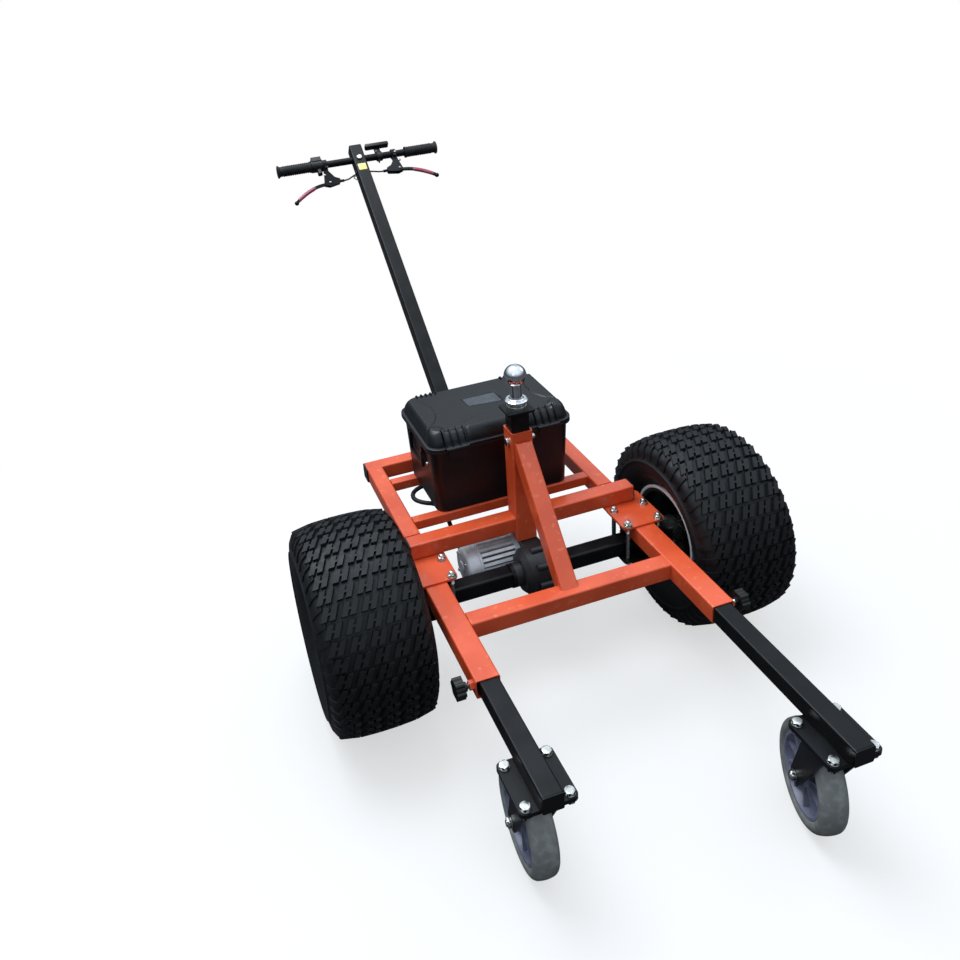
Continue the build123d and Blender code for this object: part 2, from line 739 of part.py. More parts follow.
def build_hubs():
    barrel_start = axle_end + bearing_housing_length + 2 - wheel_centre
    flange = rod_x(hub_flange_diameter, -10, 0, 0, 0)
    flange = chamfer(flange.edges().sort_by(Axis.X)[0], 2)
    barrel = rod_x(hub_barrel_diameter, barrel_start, -10, 0, 0)
    cap = rod_x(shaft_diameter + 10, -2, disc_thickness + 12, 0, 0)
    cap = fillet(cap.edges().sort_by(Axis.X)[-1], 5)
    hub = flange + barrel + cap
    for step in range(stud_count):
        angle = radians(45 + step * 360 / stud_count)
        y = stud_circle / 2 * cos(angle)
        z = stud_circle / 2 * sin(angle)
        hub = hub + rod_x(stud_diameter, -12, disc_thickness + 18, y, z)
        hub = hub + hexagon_x(stud_flats, disc_thickness, disc_thickness + 12, y, z)
    inner_ends = {-1: -differential_left - shaft_seat + 2, 1: differential_right - shaft_seat}
    for side, name in ((-1, "left"), (1, "right")):
        shaft = rod_x(shaft_diameter, inner_ends[side] - wheel_centre, barrel_start + 5, 0, 0)
        save(f"wheel_hub_{name}", on_side(wheel_place() * (hub + shaft), side))


# Telescopic legs and casters

def leg_front(side):
    return leg_front_left if side < 0 else leg_front_right


def caster_pivot(side):
    return -leg_front(side) + leg_plate_setback + leg_plate_length / 2


def caster_bolt_places(pivot_y):
    return [
        (leg_centre + across, pivot_y + along)
        for across in (-caster_bolt_pitch_x / 2, caster_bolt_pitch_x / 2)
        for along in (-caster_bolt_pitch_y / 2, caster_bolt_pitch_y / 2)
    ]


def build_leg(side, name):
    front = -leg_front(side)
    pivot_y = caster_pivot(side)
    tube = tube_y(front, front + leg_length, leg_centre, leg_middle, leg_width, leg_height, leg_wall)
    cap_plane = Plane((leg_centre, front - plug_flange, leg_middle), x_dir=(-1, 0, 0), z_dir=(0, 1, 0))
    cap = extrude(cap_plane * RectangleRounded(leg_width - 1, leg_height - 1, 3), plug_flange)
    plate = rounded_plate(leg_plate_width, leg_plate_length, leg_plate_corner,
                          leg_plate_bottom, leg_bottom, leg_centre, pivot_y)
    for x, y in caster_bolt_places(pivot_y):
        plate = plate - rod_z(bolt_diameter + 2 * hole_clearance, leg_plate_bottom - 1, leg_bottom + 1, x, y)
    save(f"leg_{name}", on_side(tube + cap + plate, side))


def build_caster_plate(side, name):
    pivot_y = caster_pivot(side)
    plate = rounded_plate(leg_plate_width, leg_plate_length, leg_plate_corner,
                          caster_top, leg_plate_bottom, leg_centre, pivot_y)
    race = rod_z(race_diameter, race_bottom, caster_top, leg_centre, pivot_y)
    race = chamfer(race.edges().sort_by(Axis.Z)[-1], 4)
    mount = plate + race
    mount = mount - rod_z(kingpin_diameter + 2 * running_gap, race_bottom - 1, leg_plate_bottom - 2,
                          leg_centre, pivot_y)
    bolts = []
    for x, y in caster_bolt_places(pivot_y):
        mount = mount - rod_z(bolt_diameter + 2 * hole_clearance, caster_top - 1, leg_plate_bottom + 1, x, y)
        shank = rod_z(bolt_diameter, caster_top - nut_height - 3, leg_bottom + 1, x, y)
        head = hexagon_z(bolt_flats, leg_bottom, leg_bottom + bolt_head, x, y)
        nut = hexagon_z(bolt_flats, caster_top - nut_height, caster_top, x, y)
        bolts.append(shank + head + nut)
    save(f"caster_plate_{name}", *[on_side(piece, side) for piece in [mount] + bolts])


def build_caster_fork(side, name):
    """Fork and axle bolt, drawn about the kingpin with the wheel trailing to the rear."""
    inner = caster_hub_width / 2 + fork_clearance - fork_wall / 2
    radius = caster_wheel_diameter / 2
    crown_bottom = fork_crown_top - 6
    leg_side = Plane((inner, 0, 0), x_dir=(0, 1, 0), z_dir=(1, 0, 0))
    crown_half = fork_crown_length / 2
    top_line = Polyline((-crown_half, crown_bottom + 1), (crown_half, crown_bottom + 1),
                        (crown_half - 4, crown_bottom - 8), (-crown_half + 4, crown_bottom - 8), close=True)
    eye = Pos(caster_trail, radius) * Circle(18)
    leg_outline = make_hull(top_line.edges() + eye.edges())
    leg = extrude(leg_side * leg_outline, fork_wall)
    crown_width = 2 * (inner + fork_wall)
    crown = rounded_plate(crown_width, fork_crown_length, 14, crown_bottom, fork_crown_top - 1, 0, 0)
    seat = rod_z(race_diameter - 6, fork_crown_top - 1, fork_crown_top, 0, 0)
    kingpin = rod_z(kingpin_diameter, crown_bottom, leg_plate_bottom - 3, 0, 0)
    king_head = hexagon_z(19, crown_bottom - 7, crown_bottom, 0, 0)
    fork = crown + seat + kingpin + king_head + leg + mirror(leg, about=Plane.YZ)
    outer = inner + fork_wall
    hole = rod_x(caster_axle_diameter, -outer - 1, outer + 1, caster_trail, radius)
    bolt = rod_x(caster_axle_diameter, -outer - 10, outer + 12, caster_trail, radius)
    bolt_end = hexagon_x(18, -outer - 7.5, -outer, caster_trail, radius)
    lock_nut = hexagon_x(18, outer, outer + 9, caster_trail, radius)
    turn = Pos(leg_centre * side, caster_pivot(side), 0) * Rot(0, 0, -swivel_angle(side))
    save(f"caster_fork_{name}", turn * (fork - hole), turn * (bolt + bolt_end + lock_nut))


def swivel_angle(side):
    return swivel_left if side < 0 else swivel_right


def build_caster_wheel(side, name):
    radius = caster_wheel_diameter / 2
    tread_inner = radius - caster_tread_depth
    half = caster_wheel_width / 2
    tyre_outline = make_face([
        Line((-half + 5, tread_inner), (half - 5, tread_inner)),
        Line((half - 5, tread_inner), (half, tread_inner + 6)),
        ThreePointArc((half, tread_inner + 6), (half - 3, radius - 7), (half - 12, radius - 1)),
        ThreePointArc((half - 12, radius - 1), (0, radius), (-half + 12, radius - 1)),
        ThreePointArc((-half + 12, radius - 1), (-half + 3, radius - 7), (-half, tread_inner + 6)),
        Line((-half, tread_inner + 6), (-half + 5, tread_inner)),
    ])
    tyre = revolve(Plane.XZ * tyre_outline, Axis.X)
    core_half = caster_core_width / 2
    band = rod_x(2 * tread_inner, -core_half, core_half, 0, 0)
    band = band - rod_x(2 * tread_inner - 16, -core_half - 1, core_half + 1, 0, 0)
    hub = rod_x(caster_hub_diameter, -caster_hub_width / 2, caster_hub_width / 2, 0, 0)
    core = band + hub
    spoke_reach = tread_inner - 4
    for step in range(caster_spoke_count):
        spoke = Pos(0, spoke_reach / 2, 0) * Box(caster_core_width - 10, spoke_reach, caster_spoke_width)
        core = core + Rot(90 + step * 360 / caster_spoke_count, 0, 0) * spoke
    bore = rod_x(caster_axle_diameter + 2 * running_gap, -caster_wheel_width, caster_wheel_width, 0, 0)
    turn = Pos(leg_centre * side, caster_pivot(side), 0) * Rot(0, 0, -swivel_angle(side))
    place = turn * Pos(0, caster_trail, radius)
    save(f"caster_wheel_{name}", place * tyre, place * (core - bore))


def build_clamp_knob(side, name):
    outer = arm_centre + arm_width / 2
    tip = leg_centre + leg_width / 2 + fit_gap
    start = outer + knob_stand
    y, z = -knob_forward, leg_middle
    knob = rod_x(knob_diameter - 6, start, start + knob_length, y, z)
    for step in range(knob_lobe_count):
        angle = radians(step * 360 / knob_lobe_count)
        reach = knob_diameter / 2 - 6
        knob = knob + rod_x(12, start, start + knob_length, y + reach * cos(angle), z + reach * sin(angle))
    knob = knob + rod_x(18, start - 6, start, y, z)
    screw = rod_x(bolt_diameter, tip, start, y, z)
    save(f"clamp_knob_{name}", on_side(knob + screw, side))


# Steering handle, drawn with Y up the column and Z out of its upper face, from the bar's crossing

def handle_place():
    return Location(Plane((handle_centre, bar_y, bar_z), x_dir=(1, 0, 0), z_dir=(0, -handle_cos, handle_sin)))


def build_handle_column():
    column = tube_y(-bar_along, bar_below_end, 0, 0, tube_side, tube_side, handle_wall)
    column = column - rod_x(bar_diameter, -tube_side, tube_side, 0, 0)
    for low in (ear_bolt_low, ear_bolt_low + ear_bolt_pitch):
        column = column - rod_x(bolt_diameter + 2 * hole_clearance, -tube_side, tube_side, low - bar_along, 0)
    column = column - rod_x(cable_hole_diameter, -tube_side, tube_side, -cable_hole_drop, 0)
    plug = Pos(0, bar_below_end, 0) * Rot(0, 0, 90)
    inside = tube_side - 2 * handle_wall - fit_gap
    plug = plug * (Pos(-plug_depth / 2, 0, 0) * Box(plug_depth, inside, inside))
    save("handle_column", handle_place() * column, handle_place() * plug)


def build_handle_bracket():
    rear = rear_beam_front + tube_side
    bolts = []
    half = tube_side / 2 + fit_gap
    for low in (ear_bolt_low, ear_bolt_low + ear_bolt_pitch):
        y = foot_y + low * handle_sin
        z = foot_z + low * handle_cos
        end = half + ear_thickness
        bolt = rod_x(bolt_diameter, -end - 1, end + nut_height + 3, y, z)
        head = hexagon_x(bolt_flats, -end - bolt_head, -end, y, z)
        nut = hexagon_x(bolt_flats, end, end + nut_height, y, z)
        bolts.append(Pos(handle_centre, 0, 0) * (bolt + head + nut))
    top_y = foot_y + (ear_bolt_low + ear_bolt_pitch) * handle_sin
    top_z = foot_z + (ear_bolt_low + ear_bolt_pitch) * handle_cos
    root = Polyline((rear, beam_bottom), (rear + 6, beam_bottom), (rear + 6, beam_top), (rear, beam_top), close=True)
    outline = make_hull(root.edges() + (Pos(top_y, top_z) * Circle(18)).edges())
    outline = outline & (Pos(rear + 200, beam_top) * Rectangle(400, 400))
    ear = extrude(Plane((half, 0, 0), x_dir=(0, 1, 0), z_dir=(1, 0, 0)) * outline, ear_thickness)
    for low in (ear_bolt_low, ear_bolt_low + ear_bolt_pitch):
        ear = ear - rod_x(bolt_diameter + 2 * hole_clearance, half - 1, half + ear_thickness + 1,
                          foot_y + low * handle_sin, foot_z + low * handle_cos)
    ears = [Pos(handle_centre, 0, 0) * ear, Pos(handle_centre, 0, 0) * mirror(ear, about=Plane.YZ)]
    save("handle_bracket", *ears)
    return bolts


def build_handlebar():
    bar = rod_x(bar_diameter, -bar_half_length, bar_half_length, 0, 0)
    bar = bar - rod_x(bar_diameter - 2 * bar_wall, -bar_half_length - 1, bar_half_length + 1, 0, 0)
    save("handlebar", handle_place() * bar)


def build_grip(clearance):
    """Rubber grip on the right end of the bar: ribbed sleeve, inner collar and end flange."""
    start = bar_half_length - grip_length
    grip = rod_x(grip_diameter, start, bar_half_length, 0, 0)
    grip = grip + rod_x(grip_flange_diameter, bar_half_length, bar_half_length + 4, 0, 0)
    grip = grip + rod_x(grip_diameter + 4, start, start + 5, 0, 0)
    return grip - rod_x(bar_diameter + 2 * clearance, start - 1, bar_half_length + fit_gap, 0, 0)


def build_grips():
    save("right_grip", handle_place() * build_grip(0))
    save("throttle_grip", handle_place() * mirror(build_grip(running_gap), about=Plane.YZ))


def build_throttle_housing():
    outer = -(bar_half_length - grip_length) + fit_gap
    inner = outer + throttle_housing_length - lever_clamp_width / 2
    inner = min(inner, -lever_clamp_left - lever_clamp_width / 2)
    body = rod_x(grip_diameter + 8, outer, inner, 0, 0)
    body = fillet(body.edges().filter_by(GeomType.CIRCLE), 2)
    lobe = Pos((outer + inner) / 2, 12, 12) * Box(inner - outer - 6, 20, 20)
    lobe = fillet(lobe.edges().filter_by(Axis.X), 4)
    tail = Pos((outer + inner) / 2 + 4, -22, 0) * Box(14, 26, 16)
    tail = fillet(tail.edges().filter_by(Axis.Y), 4)
    body = body + lobe + tail - rod_x(bar_diameter, outer - 1, inner + 1, 0, 0)
    save("throttle_housing", handle_place() * body)


def lever_bracket():
    """Bracket of the right lever from the clamp's middle: split clamp, cast body and cable barrel."""
    clamp = rod_x(lever_clamp_diameter, -lever_clamp_width / 2, lever_clamp_width / 2, 0, 0)
    half = lever_clamp_width / 2
    points = [(-half, -10), (half, -10), (half, -26), (11, -50), (15, -70), (-2, -76), (-36, -70),
              (-38, -56), (-22, -48), (-half, -26)]
    body = extrude(Plane((0, 0, -8)) * make_face(Polyline(*points, close=True)), 16)
    body = fillet(body.edges().filter_by(Axis.Z), 3)
    slot = Pos(30 + lever_pivot_out - 16, -lever_pivot_drop - 8, 0)
    slot = slot * Box(60, 48, lever_thickness + 2 * fit_gap)
    barrel = rod_x(9, -50, -34, -62, 0)
    pivot = rod_z(5, -8, 8, lever_pivot_out, -lever_pivot_drop)
    bracket = clamp + (body - slot) + barrel + pivot
    screw = rod_z(9, 8, 18, 0, -lever_clamp_diameter / 2 + 2)
    return bracket + screw - rod_x(bar_diameter, -20, 20, 0, 0)


def brake_lever():
    """Right lever in its plane from the clamp's middle: pivot eye, curved blade and ball end."""
    eye_x, eye_y = lever_pivot_out, -lever_pivot_drop
    knee = (eye_x + 42, eye_y - 8)
    grip_end = (eye_x + 94, eye_y - 34)
    ball = (eye_x + 111, eye_y - 48)
    blade_line = Spline((eye_x + 4, eye_y - 2), knee, grip_end, ball)
    half = 4.5
    blade = extrude(Plane((0, 0, -lever_thickness / 2)) * trace(blade_line, 2 * half), lever_thickness)
    eye = rod_z(14, -lever_thickness / 2, lever_thickness / 2, eye_x, eye_y)
    end = Pos(*ball, 0) * Sphere(7)
    lever = blade + eye + end
    return lever - rod_z(5 + 2 * running_gap, -lever_thickness, lever_thickness, eye_x, eye_y)


def build_levers():
    right = Pos(lever_clamp_right, 0, 0)
    left = Rot(lever_tilt_left, 0, 0) * Pos(-lever_clamp_left, 0, 0)
    bracket = lever_bracket()
    lever = brake_lever()
    save("lever_brackets", handle_place() * right * bracket,
         handle_place() * left * mirror(bracket, about=Plane.YZ))
    save("brake_lever_right", handle_place() * right * lever)
    save("brake_lever_left", handle_place() * left * mirror(lever, about=Plane.YZ))


def build_display():
    case = Pos(display_centre - 20, display_rise, display_forward) * Box(display_width, display_thickness, display_depth)
    case = fillet(case.edges().filter_by(Axis.Y), 5)
    stem_low = Pos(display_centre - 20, 0, 0)
    stem_outline = make_face(Polyline((-10, 8), (10, 8), (22, display_rise - 10), (-22, display_rise - 10),
                                      close=True))
    stem = Pos(display_centre - 20, 0, -6) * extrude(stem_outline, 12)
    ring = rod_x(bar_diameter + 8, -10, 10, 0, 0)
    hook = Pos(0, -bar_diameter / 2 - 8, 0) * (Cylinder(7, 5) - Cylinder(3.5, 6))
    clamp = stem_low * (ring + hook)
    bore = rod_x(bar_diameter, display_centre - 40, display_centre, 0, 0)
    save("display", handle_place() * (case + stem + clamp - bore))


def build_handle_fasteners(bracket_bolts):
    face = tube_side / 2
    head = rod_z(cap_bolt_diameter, face, face + 6, 0, -8)
    head = fillet(head.edges().sort_by(Axis.Z)[-1], 3)
    save("handle_fasteners", handle_place() * head, *bracket_bolts)


def cable(points, diameter, place, label):
    """Cable along straight runs joined by tangent arcs, each as large as its two runs allow."""
    corners = [Vector(*point) for point in points]
    radii = []
    for before, corner, after in zip(corners, corners[1:], corners[2:]):
        turn = radians((corner - before).get_angle(after - corner))
        shorter = min((corner - before).length, (after - corner).length)
        radii.append(0.45 * shorter / tan(turn / 2))
    path = FilletPolyline(*corners, radius=radii)
    section = Plane(corners[0], z_dir=corners[1] - corners[0]) * Circle(diameter / 2)
    solid = sweep(section, path)
    expected = pi * diameter ** 2 / 4 * path.length
    print(label, "length", round(path.length, 1), "radii", [round(radius, 1) for radius in radii],
          "volume ratio", round(solid.volume / expected, 4))
    return place * solid


def build_cables():
    barrel_x = lever_clamp_right - 50
    inside = tube_side / 2 - 8
    right = [(barrel_x, -62, 0), (barrel_x - 14, -62, 0), (barrel_x - 28, -57, 0), (inside, -cable_hole_drop, 0)]
    tilt = radians(lever_tilt_left)
    low, deep = -62 * cos(tilt), -62 * sin(tilt)
    left_x = -lever_clamp_left + 50
    left = [(left_x, low, deep), (left_x + 14, low, deep), (left_x + 28, low + 4, deep + 8),
            (-inside, -cable_hole_drop, 0)]
    place = handle_place()
    save("brake_cables", cable(right, brake_cable_diameter, place, "right brake cable"),
         cable(left, brake_cable_diameter, place, "left brake cable"))


# Battery case

def case_shell(bottom_width, bottom_depth, top_width, top_depth, z_low, z_high, corner):
    low = Plane((case_centre, case_middle_y, z_low)) * RectangleRounded(bottom_width, bottom_depth, corner)
    high = Plane((case_centre, case_middle_y, z_high)) * RectangleRounded(top_width, top_depth, corner)
    return loft([low, high])


def hinge_places():
    """Middle of each knuckle along X, body knuckles first, for both hinges."""
    body, lid = [], []
    for group in (-hinge_spread, hinge_spread):
        for step in range(hinge_knuckles):
            x = case_centre + group + (step - (hinge_knuckles - 1) / 2) * hinge_pitch
            (body if step % 2 == 0 else lid).append(x)
    return body, lid


def knuckle(x, upward):
    """Knuckle on the hinge pin with its web to the lip of the body or of the lid."""
    half = hinge_pitch / 2 - fit_gap
    barrel = rod_x(2 * hinge_radius, x - half, x + half, hinge_y, hinge_z)
    root = case_middle_y + lip_depth / 2 - 2
    low = lid_bottom if upward else case_rim - lip_height
    high = case_rim + lip_height if upward else case_rim
    web = block(x - half, x + half, root, hinge_y, low, high)
    return barrel + web


def build_case_body():
    outer = case_shell(case_bottom_width, case_bottom_depth, case_rim_width, case_rim_depth,
                       case_bottom, case_rim, case_corner)
    hollow = case_shell(case_bottom_width - 2 * case_wall, case_bottom_depth - 2 * case_wall,
                        case_rim_width - 2 * case_wall, case_rim_depth - 2 * case_wall,
                        case_bottom + case_wall, case_rim + 1, case_corner - case_wall)
    lip = case_shell(lip_width, lip_depth, lip_width, lip_depth, case_rim - lip_height, case_rim,
                     case_corner + lip_reach)
    body = outer + lip
    for x in hinge_places()[0]:
        body = body + knuckle(x, False)
    for side in (-1, 1):
        for end in (-1, 1):
            start = case_handle_width / 2 + fit_gap
            boss = block(-case_handle_bar * 1.5, case_handle_bar / 2, start, start + 7, -5, 5)
            pin = rod_y(handle_pin_diameter, case_handle_width / 2 - case_handle_bar - 1, start + 3, 0, 0)
            hanger = boss + pin
            hanger = hanger if side > 0 else mirror(hanger, about=Plane.YZ)
            hanger = hanger if end > 0 else mirror(hanger, about=Plane.XZ)
            body = body + Pos(case_centre + side * handle_pivot_out, case_middle_y, handle_pivot_z) * hanger
    body = body - hollow
    pin_bore = rod_x(hinge_pin_diameter, case_centre - case_rim_width, case_centre + case_rim_width,
                     hinge_y, hinge_z)
    body = body - pin_bore
    pins = []
    span = hinge_knuckles * hinge_pitch / 2
    for group in (-hinge_spread, hinge_spread):
        pins.append(rod_x(hinge_pin_diameter, case_centre + group - span, case_centre + group + span,
                          hinge_y, hinge_z))
    save("case_body", body, *pins)


def build_case_lid():
    rim = case_shell(lip_width, lip_depth, lip_width, lip_depth, lid_bottom, lid_bottom + lip_height,
                     case_corner + lip_reach)
    top_width = lip_width - 2 * lid_bevel_side
    top_depth = lip_depth - lid_bevel_front - lid_bevel_side
    top_shift = (lid_bevel_front - lid_bevel_side) / 2

    def crown(inset, z_low, z_high):
        low = Plane((case_centre, case_middle_y, z_low))
        low = low * RectangleRounded(lip_width - 4 - 2 * inset, lip_depth - 4 - 2 * inset, case_corner)
        high = Plane((case_centre, case_middle_y + top_shift, z_high))
        high = high * RectangleRounded(top_width - 2 * inset, top_depth - 2 * inset, case_corner)
        return loft([low, high])

    dome = crown(0, lid_bottom + lip_height, lid_top)
    dome = fillet(dome.faces().sort_by(Axis.Z)[-1].edges(), 6)
    lid = rim + dome
    for group in (-latch_spread, latch_spread):
        for step in (-1.5, -0.5, 0.5, 1.5):
            x = case_centre + group + step * rib_pitch
            lid = lid + lid_rib(x)
            if abs(step) > 1:
                lid = lid + latch_ear(x)
        reach = 1.5 * rib_pitch
        lid = lid + rod_x(latch_pin_diameter, case_centre + group - reach, case_centre + group + reach,
                          latch_y, latch_z)
    panel = Pos(case_centre, case_middle_y + 28, lid_top) * Box(88, 50, 2)
    lid = lid - panel
    for x in hinge_places()[1]:
        lid = lid + knuckle(x, True)
    hollow = crown(lid_wall + 2, lid_bottom - 1, lid_top - lid_wall)
    lid = lid - hollow
    lid = lid - rod_x(hinge_pin_diameter + 2 * running_gap, case_centre - case_rim_width,
                      case_centre + case_rim_width, hinge_y, hinge_z)
    for x in hinge_places()[0]:
        half = hinge_pitch / 2
        lid = lid - block(x - half, x + half, hinge_y - hinge_radius - 0.5, hinge_y + hinge_radius,
                          case_rim, case_rim + hinge_radius + 1)
    save("case_lid", lid)


def lid_rib(x):
    """Upright rib that runs down the front bevel of the lid to its rim."""
    front = case_middle_y - lip_depth / 2
    low = lid_bottom + 1
    points = [(front, low), (front, low + 9), (front + lid_bevel_front - 10, lid_top + 1),
              (front + lid_bevel_front + 6, lid_top + 1), (front + lid_bevel_front + 6, low + 9),
              (front + 12, low)]
    plane = Plane((x - rib_thickness / 2, 0, 0), x_dir=(0, 1, 0), z_dir=(1, 0, 0))
    return extrude(plane * make_face(Polyline(*points, close=True)), rib_thickness)


def latch_ear(x):
    """Ear in front of the lid's rim that holds one end of a latch pin."""
    half = rib_thickness / 2
    round_end = rod_x(latch_thickness * 1.6, x - half, x + half, latch_y, latch_z)
    root = case_middle_y - lip_depth / 2 + 1
    return round_end + block(x - half, x + half, latch_y, root, latch_z - 4, latch_z + 4)


def build_gasket():
    z_low, z_high = case_rim, case_rim + fit_gap
    outer = case_shell(case_rim_width + 6, case_rim_depth + 6, case_rim_width + 6, case_rim_depth + 6,
                       z_low, z_high, case_corner + 3)
    inner_width = case_rim_width + 6 - 2 * gasket_width
    inner_depth = case_rim_depth + 6 - 2 * gasket_width
    inner = case_shell(inner_width, inner_depth, inner_width, inner_depth, z_low - 1, z_high + 1,
                       case_corner + 3 - gasket_width)
    save("case_gasket", outer - inner)


def build_latches():
    """Latch plate hung from the lid's rim, with a hook under the lip of the body."""
    face = case_middle_y - lip_depth / 2
    for side, name in ((-1, "left"), (1, "right")):
        x = case_centre + side * latch_spread
        half = latch_width / 2
        plate = block(x - half, x + half, face - latch_thickness, face - 2 * fit_gap,
                      latch_z - latch_drop, latch_z)
        barrel = rod_x(latch_thickness * 1.6, x - half, x + half, latch_y, latch_z)
        hook_top = case_rim - lip_height - fit_gap
        hook = block(x - half + 6, x + half - 6, face - 1, face + 3, hook_top - 6, hook_top)
        bore = rod_x(latch_pin_diameter + 2 * running_gap, x - latch_width, x + latch_width, latch_y, latch_z)
        save(f"case_latch_{name}", plate + barrel + hook - bore)


def build_case_handles():
    bar = case_handle_bar
    z = handle_pivot_z
    half = case_handle_width / 2
    for side, name in ((-1, "left"), (1, "right")):
        x = case_centre + side * handle_pivot_out
        cross = block(x - bar / 2, x + bar / 2, case_middle_y - half, case_middle_y + half,
                      z - case_handle_drop, z - case_handle_drop + bar)
        bail = cross
        for start in (case_middle_y - half, case_middle_y + half - bar):
            arm = block(x - bar / 2, x + bar / 2, start, start + bar, z - case_handle_drop, z)
            bail = bail + arm + rod_y(bar, start, start + bar, x, z)
        bore = rod_y(handle_pin_diameter + 2 * running_gap, case_middle_y - half - 1, case_middle_y + half + 1,
                     x, z)
        save(f"case_handle_{name}", bail - bore)


def build_case_contents():
    floor = case_bottom + case_wall
    x = case_centre - 50
    battery = block(x - battery_width / 2, x + battery_width / 2, case_middle_y - battery_depth / 2,
                    case_middle_y + battery_depth / 2, floor, floor + battery_height)
    battery = fillet(battery.edges().filter_by(Axis.Z), 4)
    for offset_x in (-60, 60):
        battery = battery + rod_z(12, floor + battery_height, floor + battery_height + 8,
                                  x + offset_x, case_middle_y + 50)
    save("battery_pack", battery)
    start = case_centre + 52
    controller = block(start, start + controller_width, case_middle_y - controller_depth / 2,
                       case_middle_y + controller_depth / 2, floor, floor + controller_height)
    for step in range(7):
        y = case_middle_y - controller_depth / 2 + 12 + step * 16
        controller = controller - block(start - 1, start + controller_width + 1, y, y + 8,
                                        floor + controller_height - 8, floor + controller_height + 1)
    save("motor_controller", controller)


def build_power_cable():
    points = [(-146, 232, case_bottom), (-146, 232, 324), (-174, 238, 318), (-200, 222, 317), (-207, 192, 318),
              (-190, 166, 318), (-160, 156, 314), (-144, 132, 296), (gland_x - 3, gland_end + 52, gland_z + 22),
              (gland_x, gland_end + 31, gland_z), (gland_x, gland_end, gland_z)]
    save("power_cable", cable(points, power_cable_diameter, Location(), "power cable"))


build_cross_beam()
build_rear_frame()
build_hitch_post()
build_post_brace()
build_front_frame()
build_clamp_plates()
build_tube_plugs()
build_ball_riser()
build_tow_ball()
build_hitch_pin()
build_axle()
build_axle_clamps()
build_drive_unit()
build_tyres()
build_rims()
build_hubs()
for leg_side, leg_name in ((-1, "left"), (1, "right")):
    build_leg(leg_side, leg_name)
    build_caster_plate(leg_side, leg_name)
    build_caster_fork(leg_side, leg_name)
    build_caster_wheel(leg_side, leg_name)
    build_clamp_knob(leg_side, leg_name)
build_handle_column()
bracket_bolts = build_handle_bracket()
build_handlebar()
build_grips()
build_throttle_housing()
build_levers()
build_display()
build_handle_fasteners(bracket_bolts)
build_cables()
build_case_body()
build_case_lid()
build_gasket()
build_latches()
build_case_handles()
build_case_contents()
build_power_cable()
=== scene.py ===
import json
from math import atan2, cos, pi, radians, sin, sqrt

import bmesh
import bpy
from mathutils import Matrix, Vector


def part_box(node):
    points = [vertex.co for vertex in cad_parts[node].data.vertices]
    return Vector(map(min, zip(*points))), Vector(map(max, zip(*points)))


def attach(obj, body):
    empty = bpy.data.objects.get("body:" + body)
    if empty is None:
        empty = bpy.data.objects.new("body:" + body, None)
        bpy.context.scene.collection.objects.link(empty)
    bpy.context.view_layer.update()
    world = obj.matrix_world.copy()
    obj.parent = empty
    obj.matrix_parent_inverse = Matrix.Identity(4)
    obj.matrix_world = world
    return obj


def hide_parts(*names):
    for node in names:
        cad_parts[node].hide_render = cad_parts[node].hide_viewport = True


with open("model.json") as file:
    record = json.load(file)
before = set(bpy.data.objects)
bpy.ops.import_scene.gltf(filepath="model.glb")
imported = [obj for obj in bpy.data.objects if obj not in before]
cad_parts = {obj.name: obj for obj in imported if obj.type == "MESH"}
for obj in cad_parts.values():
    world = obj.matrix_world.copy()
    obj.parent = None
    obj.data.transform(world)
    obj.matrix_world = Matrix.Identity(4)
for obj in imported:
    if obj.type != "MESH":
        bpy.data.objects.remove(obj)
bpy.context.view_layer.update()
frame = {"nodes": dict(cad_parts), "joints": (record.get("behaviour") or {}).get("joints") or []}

# Electric trailer dolly. Sizes are millimetres counted from the middle of the main cross beam, as far as
# a piece doesn't take its place from a CAD node's box. Blender's own unit is the metre.
mm = 0.001
sides = {"left": -1, "right": 1}
beamLow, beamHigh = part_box("cross_beam")
beamMiddle = Vector(((beamLow.x + beamHigh.x) / 2, (beamLow.y + beamHigh.y) / 2, 0))


def at(x, y, z):
    return Vector((x, y, z)) * mm + beamMiddle


def hexColour(code):
    parts = [int(code[i:i + 2], 16) / 255 for i in (1, 3, 5)]
    linear = [p / 12.92 if p <= 0.04045 else ((p + 0.055) / 1.055) ** 2.4 for p in parts]
    return (*linear, 1.0)


# Adds a node, sets its properties, and links or sets each input that is named.
def addNode(tree, kind, inputs=None, **settings):
    node = tree.nodes.new(kind)
    for name, value in settings.items():
        setattr(node, name, value)
    for name, value in (inputs or {}).items():
        if isinstance(value, bpy.types.NodeSocket):
            tree.links.new(value, node.inputs[name])
        else:
            node.inputs[name].default_value = value
    return node


# Materials. Each starts from a Principled shader, with constants on its own sockets.

def startMaterial(name, sockets):
    material = bpy.data.materials.new(name)
    material.use_nodes = True
    tree = material.node_tree
    shader = tree.nodes["Principled BSDF"]
    for socket, value in sockets.items():
        shader.inputs[socket].default_value = value
    coords = addNode(tree, "ShaderNodeTexCoord").outputs["Object"]
    return material, tree, shader, coords


# Noise with features of a size in millimetres, drawn out along the axes by the stretch.
def noiseFactor(tree, coords, size, detail, stretch=None):
    if stretch:
        scale = tuple(1 / share for share in stretch)
        coords = addNode(tree, "ShaderNodeMapping", {"Vector": coords, "Scale": scale}).outputs["Vector"]
    inputs = {"Vector": coords, "Scale": 1 / (size * mm), "Detail": detail}
    return addNode(tree, "ShaderNodeTexNoise", inputs).outputs["Fac"]


